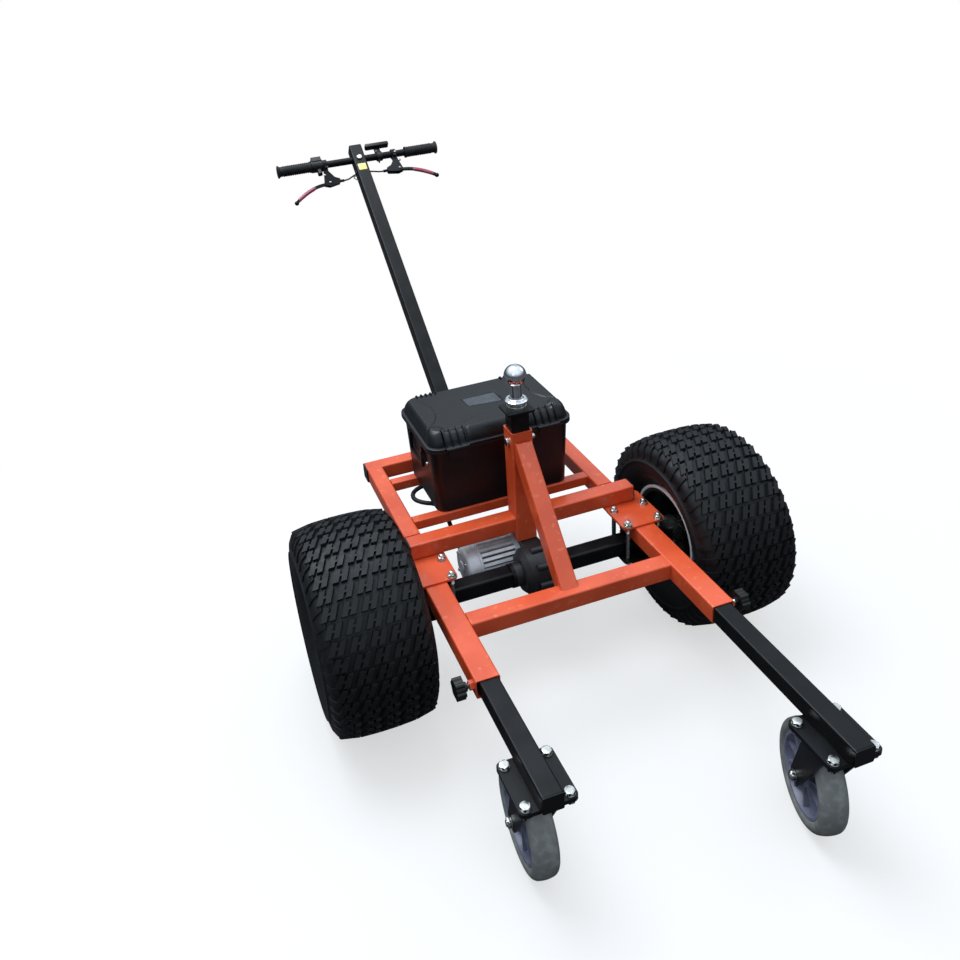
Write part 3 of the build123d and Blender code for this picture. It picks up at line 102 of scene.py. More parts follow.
# Goes from the first colour to the second as the factor goes from low to high.
def mixColours(tree, factor, first, second, low=0.35, high=0.65):
    spread = addNode(tree, "ShaderNodeMapRange", {"Value": factor, "From Min": low, "From Max": high})
    first, second = (hexColour(ink) if isinstance(ink, str) else ink for ink in (first, second))
    inputs = {"Factor": spread.outputs["Result"], 6: first, 7: second}
    return addNode(tree, "ShaderNodeMix", inputs, data_type="RGBA").outputs[2]


# Most of a noise lies between 0.3 and 0.7, so that range is spread over the values.
def spreadValue(tree, factor, low, high):
    inputs = {"Value": factor, "From Min": 0.3, "From Max": 0.7, "To Min": low, "To Max": high}
    return addNode(tree, "ShaderNodeMapRange", inputs).outputs["Result"]


def linkLook(tree, shader, colour, roughness):
    tree.links.new(colour, shader.inputs["Base Color"])
    tree.links.new(roughness, shader.inputs["Roughness"])


def addBump(tree, shader, factor, depth, strength):
    bump = addNode(tree, "ShaderNodeBump", {"Height": factor, "Distance": depth * mm, "Strength": strength})
    tree.links.new(bump.outputs["Normal"], shader.inputs["Normal"])


# A finish of one pattern, given by its size and detail, that mixes two colours and a range of roughness.
# The grain is the size, detail, depth and strength of a fine bump over it.
def mottled(name, sockets, pattern, colours, rough, grain=None):
    material, tree, shader, coords = startMaterial(name, sockets)
    clouds = noiseFactor(tree, coords, *pattern)
    linkLook(tree, shader, mixColours(tree, clouds, *colours), spreadValue(tree, clouds, *rough))
    if grain:
        size, detail, depth, strength = grain
        addBump(tree, shader, noiseFactor(tree, coords, size, detail), depth, strength)
    return material


# Gloss polyester powder coat over steel: orange red, a faint orange peel, and a little handling dust.
def powderCoat():
    look = {"colour": "#D7542C", "deep": "#C84822", "dust": "#E08560", "patch": 90, "speck": 14, "peel": 2.6,
            "peelDepth": 0.035}
    sockets = {"IOR": 1.5, "Coat Weight": 0.35, "Coat Roughness": 0.12}
    material, tree, shader, coords = startMaterial("orangePowderCoat", sockets)
    patches = noiseFactor(tree, coords, look["patch"], 4)
    base = mixColours(tree, patches, look["deep"], look["colour"])
    specks = noiseFactor(tree, coords, look["speck"], 6)
    dusty = mixColours(tree, specks, base, look["dust"], 0.6, 0.9)
    linkLook(tree, shader, dusty, spreadValue(tree, patches, 0.3, 0.42))
    addBump(tree, shader, noiseFactor(tree, coords, look["peel"], 2), look["peelDepth"], 0.6)
    return material


# Satin black powder coat: dark tubes, forks and levers, with a finer peel.
def satinBlack():
    sockets = {"IOR": 1.5, "Specular IOR Level": 0.2, "Coat Weight": 0.06, "Coat Roughness": 0.25}
    colours = ("#08090B", "#121417", 0.45, 0.8)
    return mottled("satinBlackPaint", sockets, (60, 5), colours, (0.3, 0.46), (1.8, 2, 0.03, 0.6))


# Bright zinc plating on fasteners: slightly cold, cloudy, with a faint passivation tint.
def zincPlate():
    look = {"bright": "#D6D8D6", "cloud": "#A9ACA9", "tint": "#CFC9A8", "cloudSize": 9, "tintSize": 22,
            "grain": 1.2, "grainDepth": 0.02}
    material, tree, shader, coords = startMaterial("brightZincPlate", {"Metallic": 1.0})
    clouds = noiseFactor(tree, coords, look["cloudSize"], 4)
    base = mixColours(tree, clouds, look["bright"], look["cloud"])
    tinted = mixColours(tree, noiseFactor(tree, coords, look["tintSize"], 2), base, look["tint"], 0.55, 0.95)
    linkLook(tree, shader, tinted, spreadValue(tree, clouds, 0.2, 0.38))
    addBump(tree, shader, noiseFactor(tree, coords, look["grain"], 2), look["grainDepth"], 0.5)
    return material


# Polished chrome on the tow ball, with faint finger haze.
def chromePlate():
    return mottled("polishedChrome", {"Metallic": 1.0}, (12, 4), ("#F0F1F2", "#DADDE0"), (0.04, 0.14))


# Pressed steel wheel: bright silver on the bead flanges and near black further in, told by the distance
# from the axle.
def wheelSilver():
    look = {"flange": 107.0, "blend": 1.0, "patch": 35, "grain": 1.5, "grainDepth": 0.03}
    material, tree, shader, coords = startMaterial("silverWheelPaint", {"Metallic": 0.1})
    patches = noiseFactor(tree, coords, look["patch"], 5)
    low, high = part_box("drive_rim_left")
    axle = Vector((0, (low.y + high.y) / 2, (low.z + high.z) / 2))
    moved = addNode(tree, "ShaderNodeVectorMath", {0: coords, 1: axle}, operation="SUBTRACT")
    flat = addNode(tree, "ShaderNodeVectorMath", {0: moved.outputs[0], 1: (0, 1, 1)}, operation="MULTIPLY")
    reach = addNode(tree, "ShaderNodeVectorMath", {0: flat.outputs[0]}, operation="LENGTH").outputs["Value"]
    bright = mixColours(tree, patches, "#F3F4F5", "#DDDFE0")
    dark = mixColours(tree, patches, "#0D0E10", "#1B1D20")
    first = look["flange"] * mm
    told = mixColours(tree, reach, dark, bright, first, first + look["blend"] * mm)
    linkLook(tree, shader, told, spreadValue(tree, patches, 0.3, 0.45))
    addBump(tree, shader, noiseFactor(tree, coords, look["grain"], 2), look["grainDepth"], 0.5)
    return material


# Natural rubber with carbon black: nearly black, dull, bloomed grey on the high places.
def tyreRubber():
    sockets = {"IOR": 1.5, "Specular IOR Level": 0.35}
    colours = ("#08090B", "#111317", 0.35, 0.75)
    return mottled("turfTyreRubber", sockets, (18, 6), colours, (0.48, 0.68), (1.6, 3, 0.12, 0.6))


# Elastic thermoplastic rubber tread of a caster: mid grey, satin, scuffed along its running face.
def casterRubber():
    colours = ("#757775", "#9A9C99", 0.45, 0.85)
    return mottled("greyElasticTread", {"IOR": 1.5}, (16, 7), colours, (0.38, 0.6), (2.0, 3, 0.08, 0.5))


# Moulded polypropylene wheel core, slate coloured with a soft shine.
def casterCore():
    colours = ("#686A7E", "#7C7E90")
    return mottled("slatePolypropylene", {"IOR": 1.49}, (24, 3), colours, (0.34, 0.48), (0.9, 2, 0.03, 0.5))


# Fine spark eroded texture on moulded polypropylene: the case, nearly black with a cold sheen.
def caseMoulding():
    sockets = {"IOR": 1.5, "Specular IOR Level": 0.42, "Coat Weight": 0.05, "Coat Roughness": 0.3}
    colours = ("#06080B", "#0A0D12")
    return mottled("texturedCaseMoulding", sockets, (70, 4), colours, (0.36, 0.46), (1.1, 4, 0.08, 0.5))


# Bare satin plate in the lid's recess, with no print on it.
def greyPlate():
    colours = ("#34383D", "#41464C")
    return mottled("satinGreyPlate", {"IOR": 1.5}, (12, 4), colours, (0.38, 0.5), (1.0, 2, 0.02, 0.5))


# Plain black ABS for knobs, plugs, throttle and display housings.
def blackAbs():
    sockets = {"IOR": 1.53, "Specular IOR Level": 0.4}
    return mottled("blackAbs", sockets, (20, 3), ("#08090A", "#111214"), (0.36, 0.5), (0.8, 2, 0.03, 0.5))


# Soft rubber of grips, gasket and cable sheath.
def softRubber():
    sockets = {"IOR": 1.5, "Specular IOR Level": 0.35}
    colours = ("#0E0F11", "#1B1D1F")
    return mottled("softBlackRubber", sockets, (10, 4), colours, (0.5, 0.68), (0.9, 3, 0.05, 0.6))


# Extruded aluminium of the motor body, with die lines along its length.
def extrudedAluminium():
    look = {"bright": "#E2E4E8", "stain": "#C6C9CE", "line": 1.4, "lineStretch": 40, "stainSize": 26}
    material, tree, shader, coords = startMaterial("extrudedAluminium", {"Metallic": 0.2})
    lines = noiseFactor(tree, coords, look["line"], 4, (look["lineStretch"], 1, 1))
    stains = noiseFactor(tree, coords, look["stainSize"], 4)
    stained = mixColours(tree, stains, look["bright"], look["stain"])
    linkLook(tree, shader, stained, spreadValue(tree, lines, 0.3, 0.46))
    addBump(tree, shader, lines, 0.03, 0.6)
    return material


# Sand cast iron under black enamel: rounded grain that shows at arm's length.
def blackCasting():
    look = {"colour": "#101113", "pale": "#1D1E21", "patch": 30, "sand": 3.0, "sandDepth": 0.25}
    sockets = {"IOR": 1.5, "Coat Weight": 0.2, "Coat Roughness": 0.3}
    material, tree, shader, coords = startMaterial("blackEnamelledCasting", sockets)
    sand = noiseFactor(tree, coords, look["sand"], 4)
    # This black is also used for the painted shade on the floors of the motor's grooves.
    enamelAndShade = mixColours(tree, noiseFactor(tree, coords, look["patch"], 4), look["colour"], look["pale"])
    linkLook(tree, shader, enamelAndShade, spreadValue(tree, sand, 0.42, 0.6))
    addBump(tree, shader, sand, look["sandDepth"], 0.7)
    return material


# Plasticised vinyl dip on the lever blades: dark pink red and glossy.
def leverVinyl():
    sockets = {"IOR": 1.53, "Coat Weight": 0.2}
    colours = ("#8E2F44", "#A5405A")
    return mottled("redLeverVinyl", sockets, (12, 3), colours, (0.3, 0.42), (1.2, 2, 0.03, 0.5))


# Blank yellow vinyl label, gloss laminated, a little scuffed.
def yellowLabel():
    colours = ("#E6E08A", "#D6CE6C", 0.4, 0.8)
    return mottled("yellowVinylLabel", {"IOR": 1.5}, (6, 5), colours, (0.3, 0.5))


# Toughened display window: dark, hard and shiny, with a faint smear.
def displayGlass():
    sockets = {"IOR": 1.52, "Coat Weight": 0.6, "Coat Roughness": 0.05}
    return mottled("darkDisplayWindow", sockets, (9, 4), ("#0B0D10", "#15191E"), (0.06, 0.2))


# Blue shrink wrapped cells of the battery inside the case.
def batteryWrap():
    colours = ("#253A5C", "#2E4770")
    return mottled("blueBatteryCase", {"IOR": 1.5}, (30, 3), colours, (0.28, 0.42), (2.5, 2, 0.05, 0.4))


print("materials")
orangePaint = powderCoat()
blackPaint = satinBlack()
zinc = zincPlate()
chrome = chromePlate()
silver = wheelSilver()
turfRubber = tyreRubber()
treadGrey = casterRubber()
coreSlate = casterCore()
caseTexture = caseMoulding()
plateGrey = greyPlate()
plainAbs = blackAbs()
rubber = softRubber()
aluminium = extrudedAluminium()
casting = blackCasting()
vinyl = leverVinyl()
labelYellow = yellowLabel()
window = displayGlass()
batteryBlue = batteryWrap()


# Mesh helpers

# Faces between rings of points of equal count. Caps close the first and the last ring, each with 1 where its
# points are taken in their own order and -1 where they are taken backwards.
def ringFaces(rings, count, closed=False, caps=None, first=0):
    faces = []
    for ring in range(rings if closed else rings - 1):
        here, there = first + ring * count, first + (ring + 1) % rings * count
        for step in range(count):
            after = (step + 1) % count
            faces.append((here + step, here + after, there + after, there + step))
    if caps:
        last = first + (rings - 1) * count
        faces += [tuple(range(start, start + count))[::way] for start, way in zip((first, last), caps)]
    return faces


# Merges doubles, turns the faces outwards and shades them smooth except at edges sharper than 38 degrees.
def finishMesh(mesh, smooth):
    work = bmesh.new()
    work.from_mesh(mesh)
    bmesh.ops.remove_doubles(work, verts=work.verts, dist=0.02 * mm)
    bmesh.ops.recalc_face_normals(work, faces=work.faces)
    for edge in work.edges:
        edge.smooth = len(edge.link_faces) != 2 or edge.calc_face_angle(0) < radians(38)
    for face in work.faces:
        face.smooth = smooth
    work.to_mesh(mesh)
    work.free()


def linkPiece(name, data):
    piece = bpy.data.objects.new(name, data)
    bpy.context.scene.collection.objects.link(piece)
    return piece


def newPiece(name, points, faces, material, smooth=True):
    mesh = bpy.data.meshes.new(name)
    mesh.from_pydata([tuple(point) for point in points], [], faces)
    mesh.materials.append(material)
    finishMesh(mesh, smooth)
    return linkPiece(name, mesh)


def joinPieces(name, pieces):
    for piece in bpy.context.selected_objects:
        piece.select_set(False)
    for piece in pieces:
        piece.select_set(True)
    bpy.context.view_layer.objects.active = pieces[0]
    bpy.ops.object.join()
    pieces[0].name = name
    return pieces[0]


# A closed outline of (along, radius) pairs turned about an axis through the centre.
def lathe(name, outline, centre, axis, material, steps=96):
    axis = Vector(axis).normalized()
    start = axis.orthogonal().normalized()
    across = axis.cross(start)
    points = []
    for step in range(steps):
        turn = 2 * pi * step / steps
        out = start * cos(turn) + across * sin(turn)
        points += [centre + axis * (along * mm) + out * (radius * mm) for along, radius in outline]
    return newPiece(name, points, ringFaces(steps, len(outline), closed=True), material)


# Points of a three point arc, ends included, as plain pairs.
def arc(first, middle, last, steps=8):
    (ax, ay), (bx, by), (cx, cy) = first, middle, last
    d = 2 * (ax * (by - cy) + bx * (cy - ay) + cx * (ay - by))
    sa, sb, sc = ax * ax + ay * ay, bx * bx + by * by, cx * cx + cy * cy
    ox = (sa * (by - cy) + sb * (cy - ay) + sc * (ay - by)) / d
    oy = (sa * (cx - bx) + sb * (ax - cx) + sc * (bx - ax)) / d
    radius = sqrt((ax - ox) ** 2 + (ay - oy) ** 2)
    start, end = atan2(ay - oy, ax - ox), atan2(cy - oy, cx - ox)
    if d > 0 and end < start:
        end += 2 * pi
    if d < 0 and end > start:
        end -= 2 * pi
    turns = [start + (end - start) * k / steps for k in range(steps + 1)]
    return [(ox + radius * cos(turn), oy + radius * sin(turn)) for turn in turns]


# Geometry Nodes helpers: a tree with named inputs, run once on a seed mesh and kept as a plain mesh.

def startTree(name, sizes):
    tree = bpy.data.node_groups.new(name, "GeometryNodeTree")
    tree.interface.new_socket("Geometry", in_out="INPUT", socket_type="NodeSocketGeometry")
    kinds = {int: "NodeSocketInt", float: "NodeSocketFloat", bpy.types.Object: "NodeSocketObject"}
    for label, value in sizes.items():
        socket = tree.interface.new_socket(label, in_out="INPUT", socket_type=kinds[type(value)])
        socket.default_value = value
    tree.interface.new_socket("Geometry", in_out="OUTPUT", socket_type="NodeSocketGeometry")
    entry = tree.nodes.new("NodeGroupInput")
    leave = tree.nodes.new("NodeGroupOutput")
    return tree, entry.outputs, leave.inputs


# Turns by the first Euler angles and then, about the turned axes, by the second.
def turnTwice(tree, first, second):
    rotations = []
    for angles in (first, second):
        euler = addNode(tree, "ShaderNodeCombineXYZ", angles).outputs[0]
        rotations.append(addNode(tree, "FunctionNodeEulerToRotation", {"Euler": euler}).outputs[0])
    inputs = {"Rotation": rotations[0], "Rotate By": rotations[1]}
    return addNode(tree, "FunctionNodeRotateRotation", inputs, rotation_space="LOCAL").outputs["Rotation"]


# Ends a tree: the model stands on every point, made real and painted.
def standOnPoints(tree, result, points, model, rotation, material):
    one = addNode(tree, "GeometryNodeObjectInfo", {"Object": model}, transform_space="ORIGINAL")
    inputs = {"Points": points, "Instance": one.outputs["Geometry"], "Rotation": rotation}
    stood = addNode(tree, "GeometryNodeInstanceOnPoints", inputs)
    real = addNode(tree, "GeometryNodeRealizeInstances", {"Geometry": stood.outputs["Instances"]})
    inputs = {"Geometry": real.outputs["Geometry"], "Material": material}
    painted = addNode(tree, "GeometryNodeSetMaterial", inputs)
    tree.links.new(painted.outputs["Geometry"], result["Geometry"])


def pointSeed(name, places):
    mesh = bpy.data.meshes.new(name)
    mesh.from_pydata([tuple(place) for place in places], [], [])
    return linkPiece(name, mesh)


def runTree(tree, name, seed, sizes):
    grow = seed.modifiers.new("grow", "NODES")
    grow.node_group = tree
    sockets = {item.name: item.identifier for item in tree.interface.items_tree if item.in_out == "INPUT"}
    for label, value in sizes.items():
        grow[sockets[label]] = value
    graph = bpy.context.evaluated_depsgraph_get()
    mesh = bpy.data.meshes.new_from_object(seed.evaluated_get(graph), depsgraph=graph)
    mesh.name = name
    bpy.data.objects.remove(seed)
    return linkPiece(name, mesh)


# Drive tyres: a carcass with a low sidewall ridge, and rows of slotted, leaning blocks round the crown.

tyreLook = {
    "blockHeight": 8.0, "rows": 42, "columns": 5, "columnPitch": 40.5, "blockWidth": 31.0,
    "blockLength": 28.0, "lean": 13.0, "slotWidth": 5.0, "slotDepth": 10.0, "topShrink": 0.93,
    "topLoss": 0.5, "root": 1.5, "shoulder": 23.0, "shoulderDrop": 9.0, "ridgeRadius": 178.0,
    "ridgeHeight": 2.0, "rimRadius": 115.0, "beadHalf": 86.0, "beadWidth": 16.0, "boreRadius": 102.5,
    "crownPower": 2.6, "outerTilt": 0.26,
}


def tyrePlace(side):
    low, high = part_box(f"drive_tyre_{side}")
    centre = (low + high) / 2
    radius = (high.z - low.z) / 2 / mm
    half = (high.x - low.x) / 2 / mm
    return centre, radius, half


# The right half of the section, from the crown down the sidewall, round the bead and back inside.
def carcassOutline(radius, half):
    look = tyreLook
    base = radius - look["blockHeight"]
    shoulder = (half - look["shoulder"], base - look["shoulderDrop"])
    corner = (half - 8, base - look["shoulderDrop"] - 22)
    ridge, rise, bead = look["ridgeRadius"], look["ridgeHeight"], look["beadHalf"]
    bulge = half - rise - 0.5
    outer = arc((0, base), (half * 0.45, base - 1.8), shoulder, 8)
    outer += arc(shoulder, (half - 13, shoulder[1] - 7), corner, 6)[1:]
    outer += [(bulge - 1.4, ridge + 4), (bulge + rise, ridge + 1.2), (bulge + rise, ridge - 1.2),
              (bulge - 0.4, ridge - 4)]
    outer += arc((bulge - 0.6, ridge - 8), (half - 9, 148), (bead + 3, look["rimRadius"] + 6), 10)
    inside = bead - look["beadWidth"]
    outer += [(bead, look["rimRadius"]), (bead, look["boreRadius"]), (inside, look["boreRadius"])]
    inner = arc((inside, 118), (half - 12, 165), (half - 30, base - 21), 8)
    return outer + inner, (0, base - 13)


def buildCarcass(side):
    centre, radius, half = tyrePlace(side)
    right, bottom = carcassOutline(radius, half)
    left = [(-x, r) for x, r in reversed(right) if x > 0]
    return lathe(f"carcass_{side}", right + [bottom] + left, centre, (1, 0, 0), turfRubber, 160)


# One block lies in its own plane: x across the tyre, y along its run, z outwards. It leans and has a slot
# in each end, so it reads as a slanted H.
def blockOutline(look, scale):
    half, tall = look["blockWidth"] / 2 * scale, look["blockLength"] / 2 * scale
    slot, deep = look["slotWidth"] / 2 / scale, look["slotDepth"] / scale
    upper = [(half, tall), (slot, tall), (slot, tall - deep), (-slot, tall - deep), (-slot, tall),
             (-half, tall)]
    flat = [(-x, -y) for x, y in upper] + upper
    lean = look["lean"] / look["blockLength"]
    return [(x + y * lean, y) for x, y in flat]


def buildBlock():
    look = tyreLook
    foot = blockOutline(look, 1.0)
    top = blockOutline(look, look["topShrink"])
    levels = ((-look["root"], foot), (look["blockHeight"] - look["topLoss"], top))
    points = [Vector((x, y, height)) * mm for height, outline in levels for x, y in outline]
    count = len(foot)
    faces = ringFaces(2, count)
    for group in ((0, 1, 2, 9, 10, 11), (3, 4, 5, 6, 7, 8), (2, 3, 8, 9)):
        faces += [group, tuple(count + k for k in group)]
    return newPiece("treadBlock", points, faces, turfRubber)


# Sizes of the tread's tree, in metres.
def treadSizes(side):
    look = tyreLook
    centre, radius, half = tyrePlace(side)
    return {"Rows": look["rows"], "Columns": look["columns"], "Column pitch": look["columnPitch"] * mm,
            "Base radius": (radius - look["blockHeight"]) * mm, "Crown drop": look["shoulderDrop"] * mm,
            "Half width": (half - look["shoulder"]) * mm, "Centre x": centre.x, "Centre y": centre.y,
            "Centre z": centre.z}


# The tree sets a grid of points, columns across and rows round, wraps it on the crown and stands a block
# on each.
def treadTree(block):
    look = tyreLook
    tree, given, result = startTree("treadRows", treadSizes("left"))

    def maths(operation, first, second=0.0):
        return addNode(tree, "ShaderNodeMath", {0: first, 1: second}, operation=operation).outputs[0]

    total = maths("MULTIPLY", given["Rows"], given["Columns"])
    line = addNode(tree, "GeometryNodeMeshLine", {"Count": total})
    index = addNode(tree, "GeometryNodeInputIndex").outputs["Index"]
    row = maths("FLOOR", maths("DIVIDE", maths("ADD", index, 0.5), given["Columns"]))
    column = maths("SUBTRACT", index, maths("MULTIPLY", row, given["Columns"]))
    middle = maths("DIVIDE", maths("SUBTRACT", given["Columns"], 1.0), 2.0)
    across = maths("MULTIPLY", maths("SUBTRACT", column, middle), given["Column pitch"])
    share = maths("DIVIDE", across, given["Half width"])
    away = maths("ABSOLUTE", share)
    drop = maths("MULTIPLY", maths("POWER", away, look["crownPower"]), given["Crown drop"])
    radius = maths("SUBTRACT", given["Base radius"], drop)
    turn = maths("DIVIDE", maths("MULTIPLY", row, 2 * pi), given["Rows"])
    place = addNode(tree, "ShaderNodeCombineXYZ", {
        "X": maths("ADD", across, given["Centre x"]),
        "Y": maths("ADD", maths("MULTIPLY", radius, maths("SINE", turn)), given["Centre y"]),
        "Z": maths("ADD", maths("MULTIPLY", radius, maths("COSINE", turn)), given["Centre z"]),
    })
    points = addNode(tree, "GeometryNodeSetPosition", {"Geometry": line.outputs["Mesh"],
                                                       "Position": place.outputs["Vector"]})
    slope = maths("MULTIPLY", maths("MULTIPLY", share, away), look["outerTilt"])
    rotation = turnTwice(tree, {"X": maths("MULTIPLY", turn, -1.0)}, {"Y": slope})
    standOnPoints(tree, result, points.outputs["Geometry"], block, rotation, turfRubber)
    return tree


# Long lugs that run down each shoulder between the outer blocks. Each stop of their path is an inset from
# the tyre's side, a drop below the crown's base and a rise; the lean is in degrees for every 3 mm outwards.
lugLook = {"path": ((26, 8, 6.6), (17, 14, 6.0), (9.5, 25, 4.6), (5, 36, 1.6)), "lean": 0.33,
           "halfWidth": 6.4, "root": 1.5, "margin": 0.3}


def buildShoulderLugs(side, centre, radius, half):
    look = lugLook
    points, faces = [], []
    rows, path = tyreLook["rows"], look["path"]
    base = radius - tyreLook["blockHeight"]
    for flank in (-1, 1):
        for row in range(rows):
            start = 2 * pi * (row + 0.5) / rows
            faces += ringFaces(len(path), 4, caps=(1, 1), first=len(points))
            for inset, drop, rise in path:
                lean = radians(-flank * look["lean"] * (path[0][0] - inset) / 3)
                aside, above = (0.3, 0.95) if inset == path[0][0] else (0.55, 0.83)
                for wing, lift in ((-1, -look["root"]), (-1, rise), (1, rise), (1, -look["root"])):
                    turn = start + lean + wing * look["halfWidth"] / radius
                    spot = Vector((flank * (half - inset + aside * lift), 0, base - drop + above * lift))
                    spot.x = max(-half + look["margin"], min(half - look["margin"], spot.x))
                    points.append(centre + Matrix.Rotation(turn, 3, "X") @ (spot * mm))
    return newPiece(f"shoulderLugs_{side}", points, faces, turfRubber)


def buildTyres():
    block = buildBlock()
    tree = treadTree(block)
    for side in sides:
        blocks = runTree(tree, f"treadBlocks_{side}", pointSeed(f"treadSeed_{side}", []), treadSizes(side))
        lugs = buildShoulderLugs(side, *tyrePlace(side))
        tyre = joinPieces(f"turfTyre_{side}", [buildCarcass(side), blocks, lugs])
        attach(tyre, f"drive_wheel_{side}")
        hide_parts(f"drive_tyre_{side}")
    bpy.data.objects.remove(block)


print("tyres")
buildTyres()


# Fasteners, at places read from the CAD nodes

# Boxes of the separate solids of a node, as lowest and highest corner, sorted by place.
def looseBoxes(nodeName):
    work = bmesh.new()
    work.from_mesh(frame["nodes"][nodeName].data)
    bmesh.ops.remove_doubles(work, verts=work.verts, dist=0.001 * mm)
    waiting, boxes = set(work.verts), []
    while waiting:
        stack = [waiting.pop()]
        found = []
        while stack:
            vert = stack.pop()
            found.append(vert.co.copy())
            for edge in vert.link_edges:
                other = edge.other_vert(vert)
                if other in waiting:
                    waiting.remove(other)
                    stack.append(other)
        low = Vector([min(values) for values in zip(*found)])
        high = Vector([max(values) for values in zip(*found)])
        boxes.append((low, high))
    work.free()
    return sorted(boxes, key=lambda box: tuple(round(value, 4) for value in (*box[0], *box[1])))


# Middle of each box at the height of its foot.
def footPlaces(boxes):
    return [((low.x + high.x) / 2, (low.y + high.y) / 2, low.z) for low, high in boxes]


# Turned and hexagonal parts about Z. Each part is a list of levels, and each level is (height, radius,
# flats), with flats 0 where it is round.
def partsToPiece(name, parts, material, steps=36):
    points, faces = [], []
    for levels in parts:
        faces += ringFaces(len(levels), steps, caps=(-1, 1), first=len(points))
        for height, radius, flats in levels:
            for step in range(steps):
                turn = 2 * pi * step / steps
                reach = radius
                if flats:
                    reach = min(radius, flats / 2 / cos((turn + pi / 6) % (pi / 3) - pi / 6))
                points.append(Vector((reach * cos(turn), reach * sin(turn), height)) * mm)
    return newPiece(name, points, faces, material)


# A hexagon with its corners turned off at both ends.
def hexLevels(low, high, flats):
    corner = flats / sqrt(3)
    edge = flats * 0.485
    drop = (corner - edge) * 0.55
    rows = ((low, edge), (low + drop, corner), (high - drop, corner), (high, edge))
    return [(height, radius, flats) for height, radius in rows]


def washerLevels(low, high, diameter, soft=0.3):
    radius = diameter / 2
    rows = ((low, radius - soft), (low + soft, radius), (high - soft, radius), (high, radius - soft))
    return [(height, reach, 0) for height, reach in rows]


def shankLevels(low, high, diameter):
    return [(low, diameter / 2, 0), (high, diameter / 2, 0)]


# Thread drawn as rings with a vee between them, close enough at this size.
def threadLevels(low, high, diameter, pitch):
    radius, depth = diameter / 2, pitch * 0.45
    levels = [(low, radius - depth, 0)]
    turns = int((high - low - 1) / pitch)
    for turn in range(turns):
        start = low + 0.5 + turn * pitch
        levels += [(start + pitch * 0.25, radius, 0), (start + pitch * 0.5, radius, 0),
                   (start + pitch * 0.9, radius - depth, 0)]
    return levels + [(high - 0.6, radius - depth * 0.6, 0), (high, radius - 1.2, 0)]


# The tree stands one fastener on each point of the seed, tipped onto its axis and spun by chance.
def fastenerTree(sizes):
    tree, given, result = startTree("setFasteners", sizes)
    inputs = {"Seed": given["Spin seed"], 3: 2 * pi}
    chance = addNode(tree, "FunctionNodeRandomValue", inputs, data_type="FLOAT")
    rotation = turnTwice(tree, {"Y": given["Tip"]}, {"Z": chance.outputs[1]})
    standOnPoints(tree, result, given["Geometry"], given["Fastener"], rotation, zinc)
    return tree


# Places in equal steps round a circle about X, in millimetres from its centre.
def roundPlaces(centre, radius, count):
    turns = [2 * pi * (step + 0.5) / count for step in range(count)]
    return [centre + Vector((0, cos(turn), sin(turn))) * radius * mm for turn in turns]


# Fasteners of one kind on one body, along Z or along X.
def setFasteners(name, body, places, parts, along="z"):
    one = partsToPiece(name + "One", parts, zinc)
    sizes = {"Tip": pi / 2 if along == "x" else 0.0, "Spin seed": 4, "Fastener": one}
    piece = runTree(fastenerTree(sizes), name, pointSeed(name + "Places", places), sizes)
    bpy.data.objects.remove(one)
    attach(piece, body)
    return piece


# Long axle bolts: head and washer under the strap, nut and washer on the plate, thread standing proud.
axleBoltLook = {"diameter": 10.0, "flats": 17.0, "head": 6.4, "washer": 21.0, "washerThick": 1.6,
                "nutSeat": 14.0, "nut": 8.0, "pitch": 1.5, "threadLength": 34.0}


def buildAxleBolts():
    look = axleBoltLook
    boxes = looseBoxes("axle_bolts")
    length = (boxes[0][1].z - boxes[0][0].z) / mm
    seat, thick, head = length - look["nutSeat"], look["washerThick"], look["head"]
    threadStart = length - look["threadLength"]
    parts = [
        hexLevels(0, head - thick, look["flats"]),
        washerLevels(head - thick, head, look["washer"]),
        shankLevels(head, threadStart, look["diameter"]),
        threadLevels(threadStart, length, look["diameter"], look["pitch"]),
        washerLevels(seat, seat + thick, look["washer"]),
        hexLevels(seat + thick, seat + look["nut"], look["flats"]),
    ]
    bolts = setFasteners("axleBolts", "chassis", footPlaces(boxes), parts)
    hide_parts("axle_bolts")


# Caster plate bolts: bright hexagon heads with a washer on top, nyloc nuts below.
casterBoltLook = {"diameter": 10.0, "flats": 17.3, "head": 6.8, "seat": 6.4, "washer": 20.0,
                  "washerThick": 1.6, "tail": 3.0, "nut": 8.2, "pitch": 1.5, "widest": 30.0}


def buildCasterBolts():
    look = casterBoltLook
    thick, tail, diameter = look["washerThick"], look["tail"], look["diameter"]
    for side in sides:
        boxes = looseBoxes(f"caster_plate_{side}")
        bolts = [box for box in boxes if (box[1] - box[0]).x < look["widest"] * mm]
        top = (bolts[0][1].z - bolts[0][0].z) / mm - look["seat"]
        under = tail + look["nut"]
        parts = [
            threadLevels(0, under, diameter, look["pitch"]),
            hexLevels(tail, under - 0.2, look["flats"]),
            shankLevels(under, top, diameter),
            washerLevels(top, top + thick, look["washer"]),
            hexLevels(top + thick, top + look["head"], look["flats"]),
        ]
        setFasteners(f"casterBolts_{side}", f"leg_{side}", footPlaces(bolts), parts)


# Wheel nuts on the outer dish, each on its washer with the stud's thread standing out of it.
wheelNutLook = {"count": 4, "circle": 101.6, "flats": 19.3, "nut": 13.0, "stud": 12.0, "studOut": 22.8,
                "seat": 4.5, "washer": 24.0, "washerThick": 1.4, "pitch": 1.5}


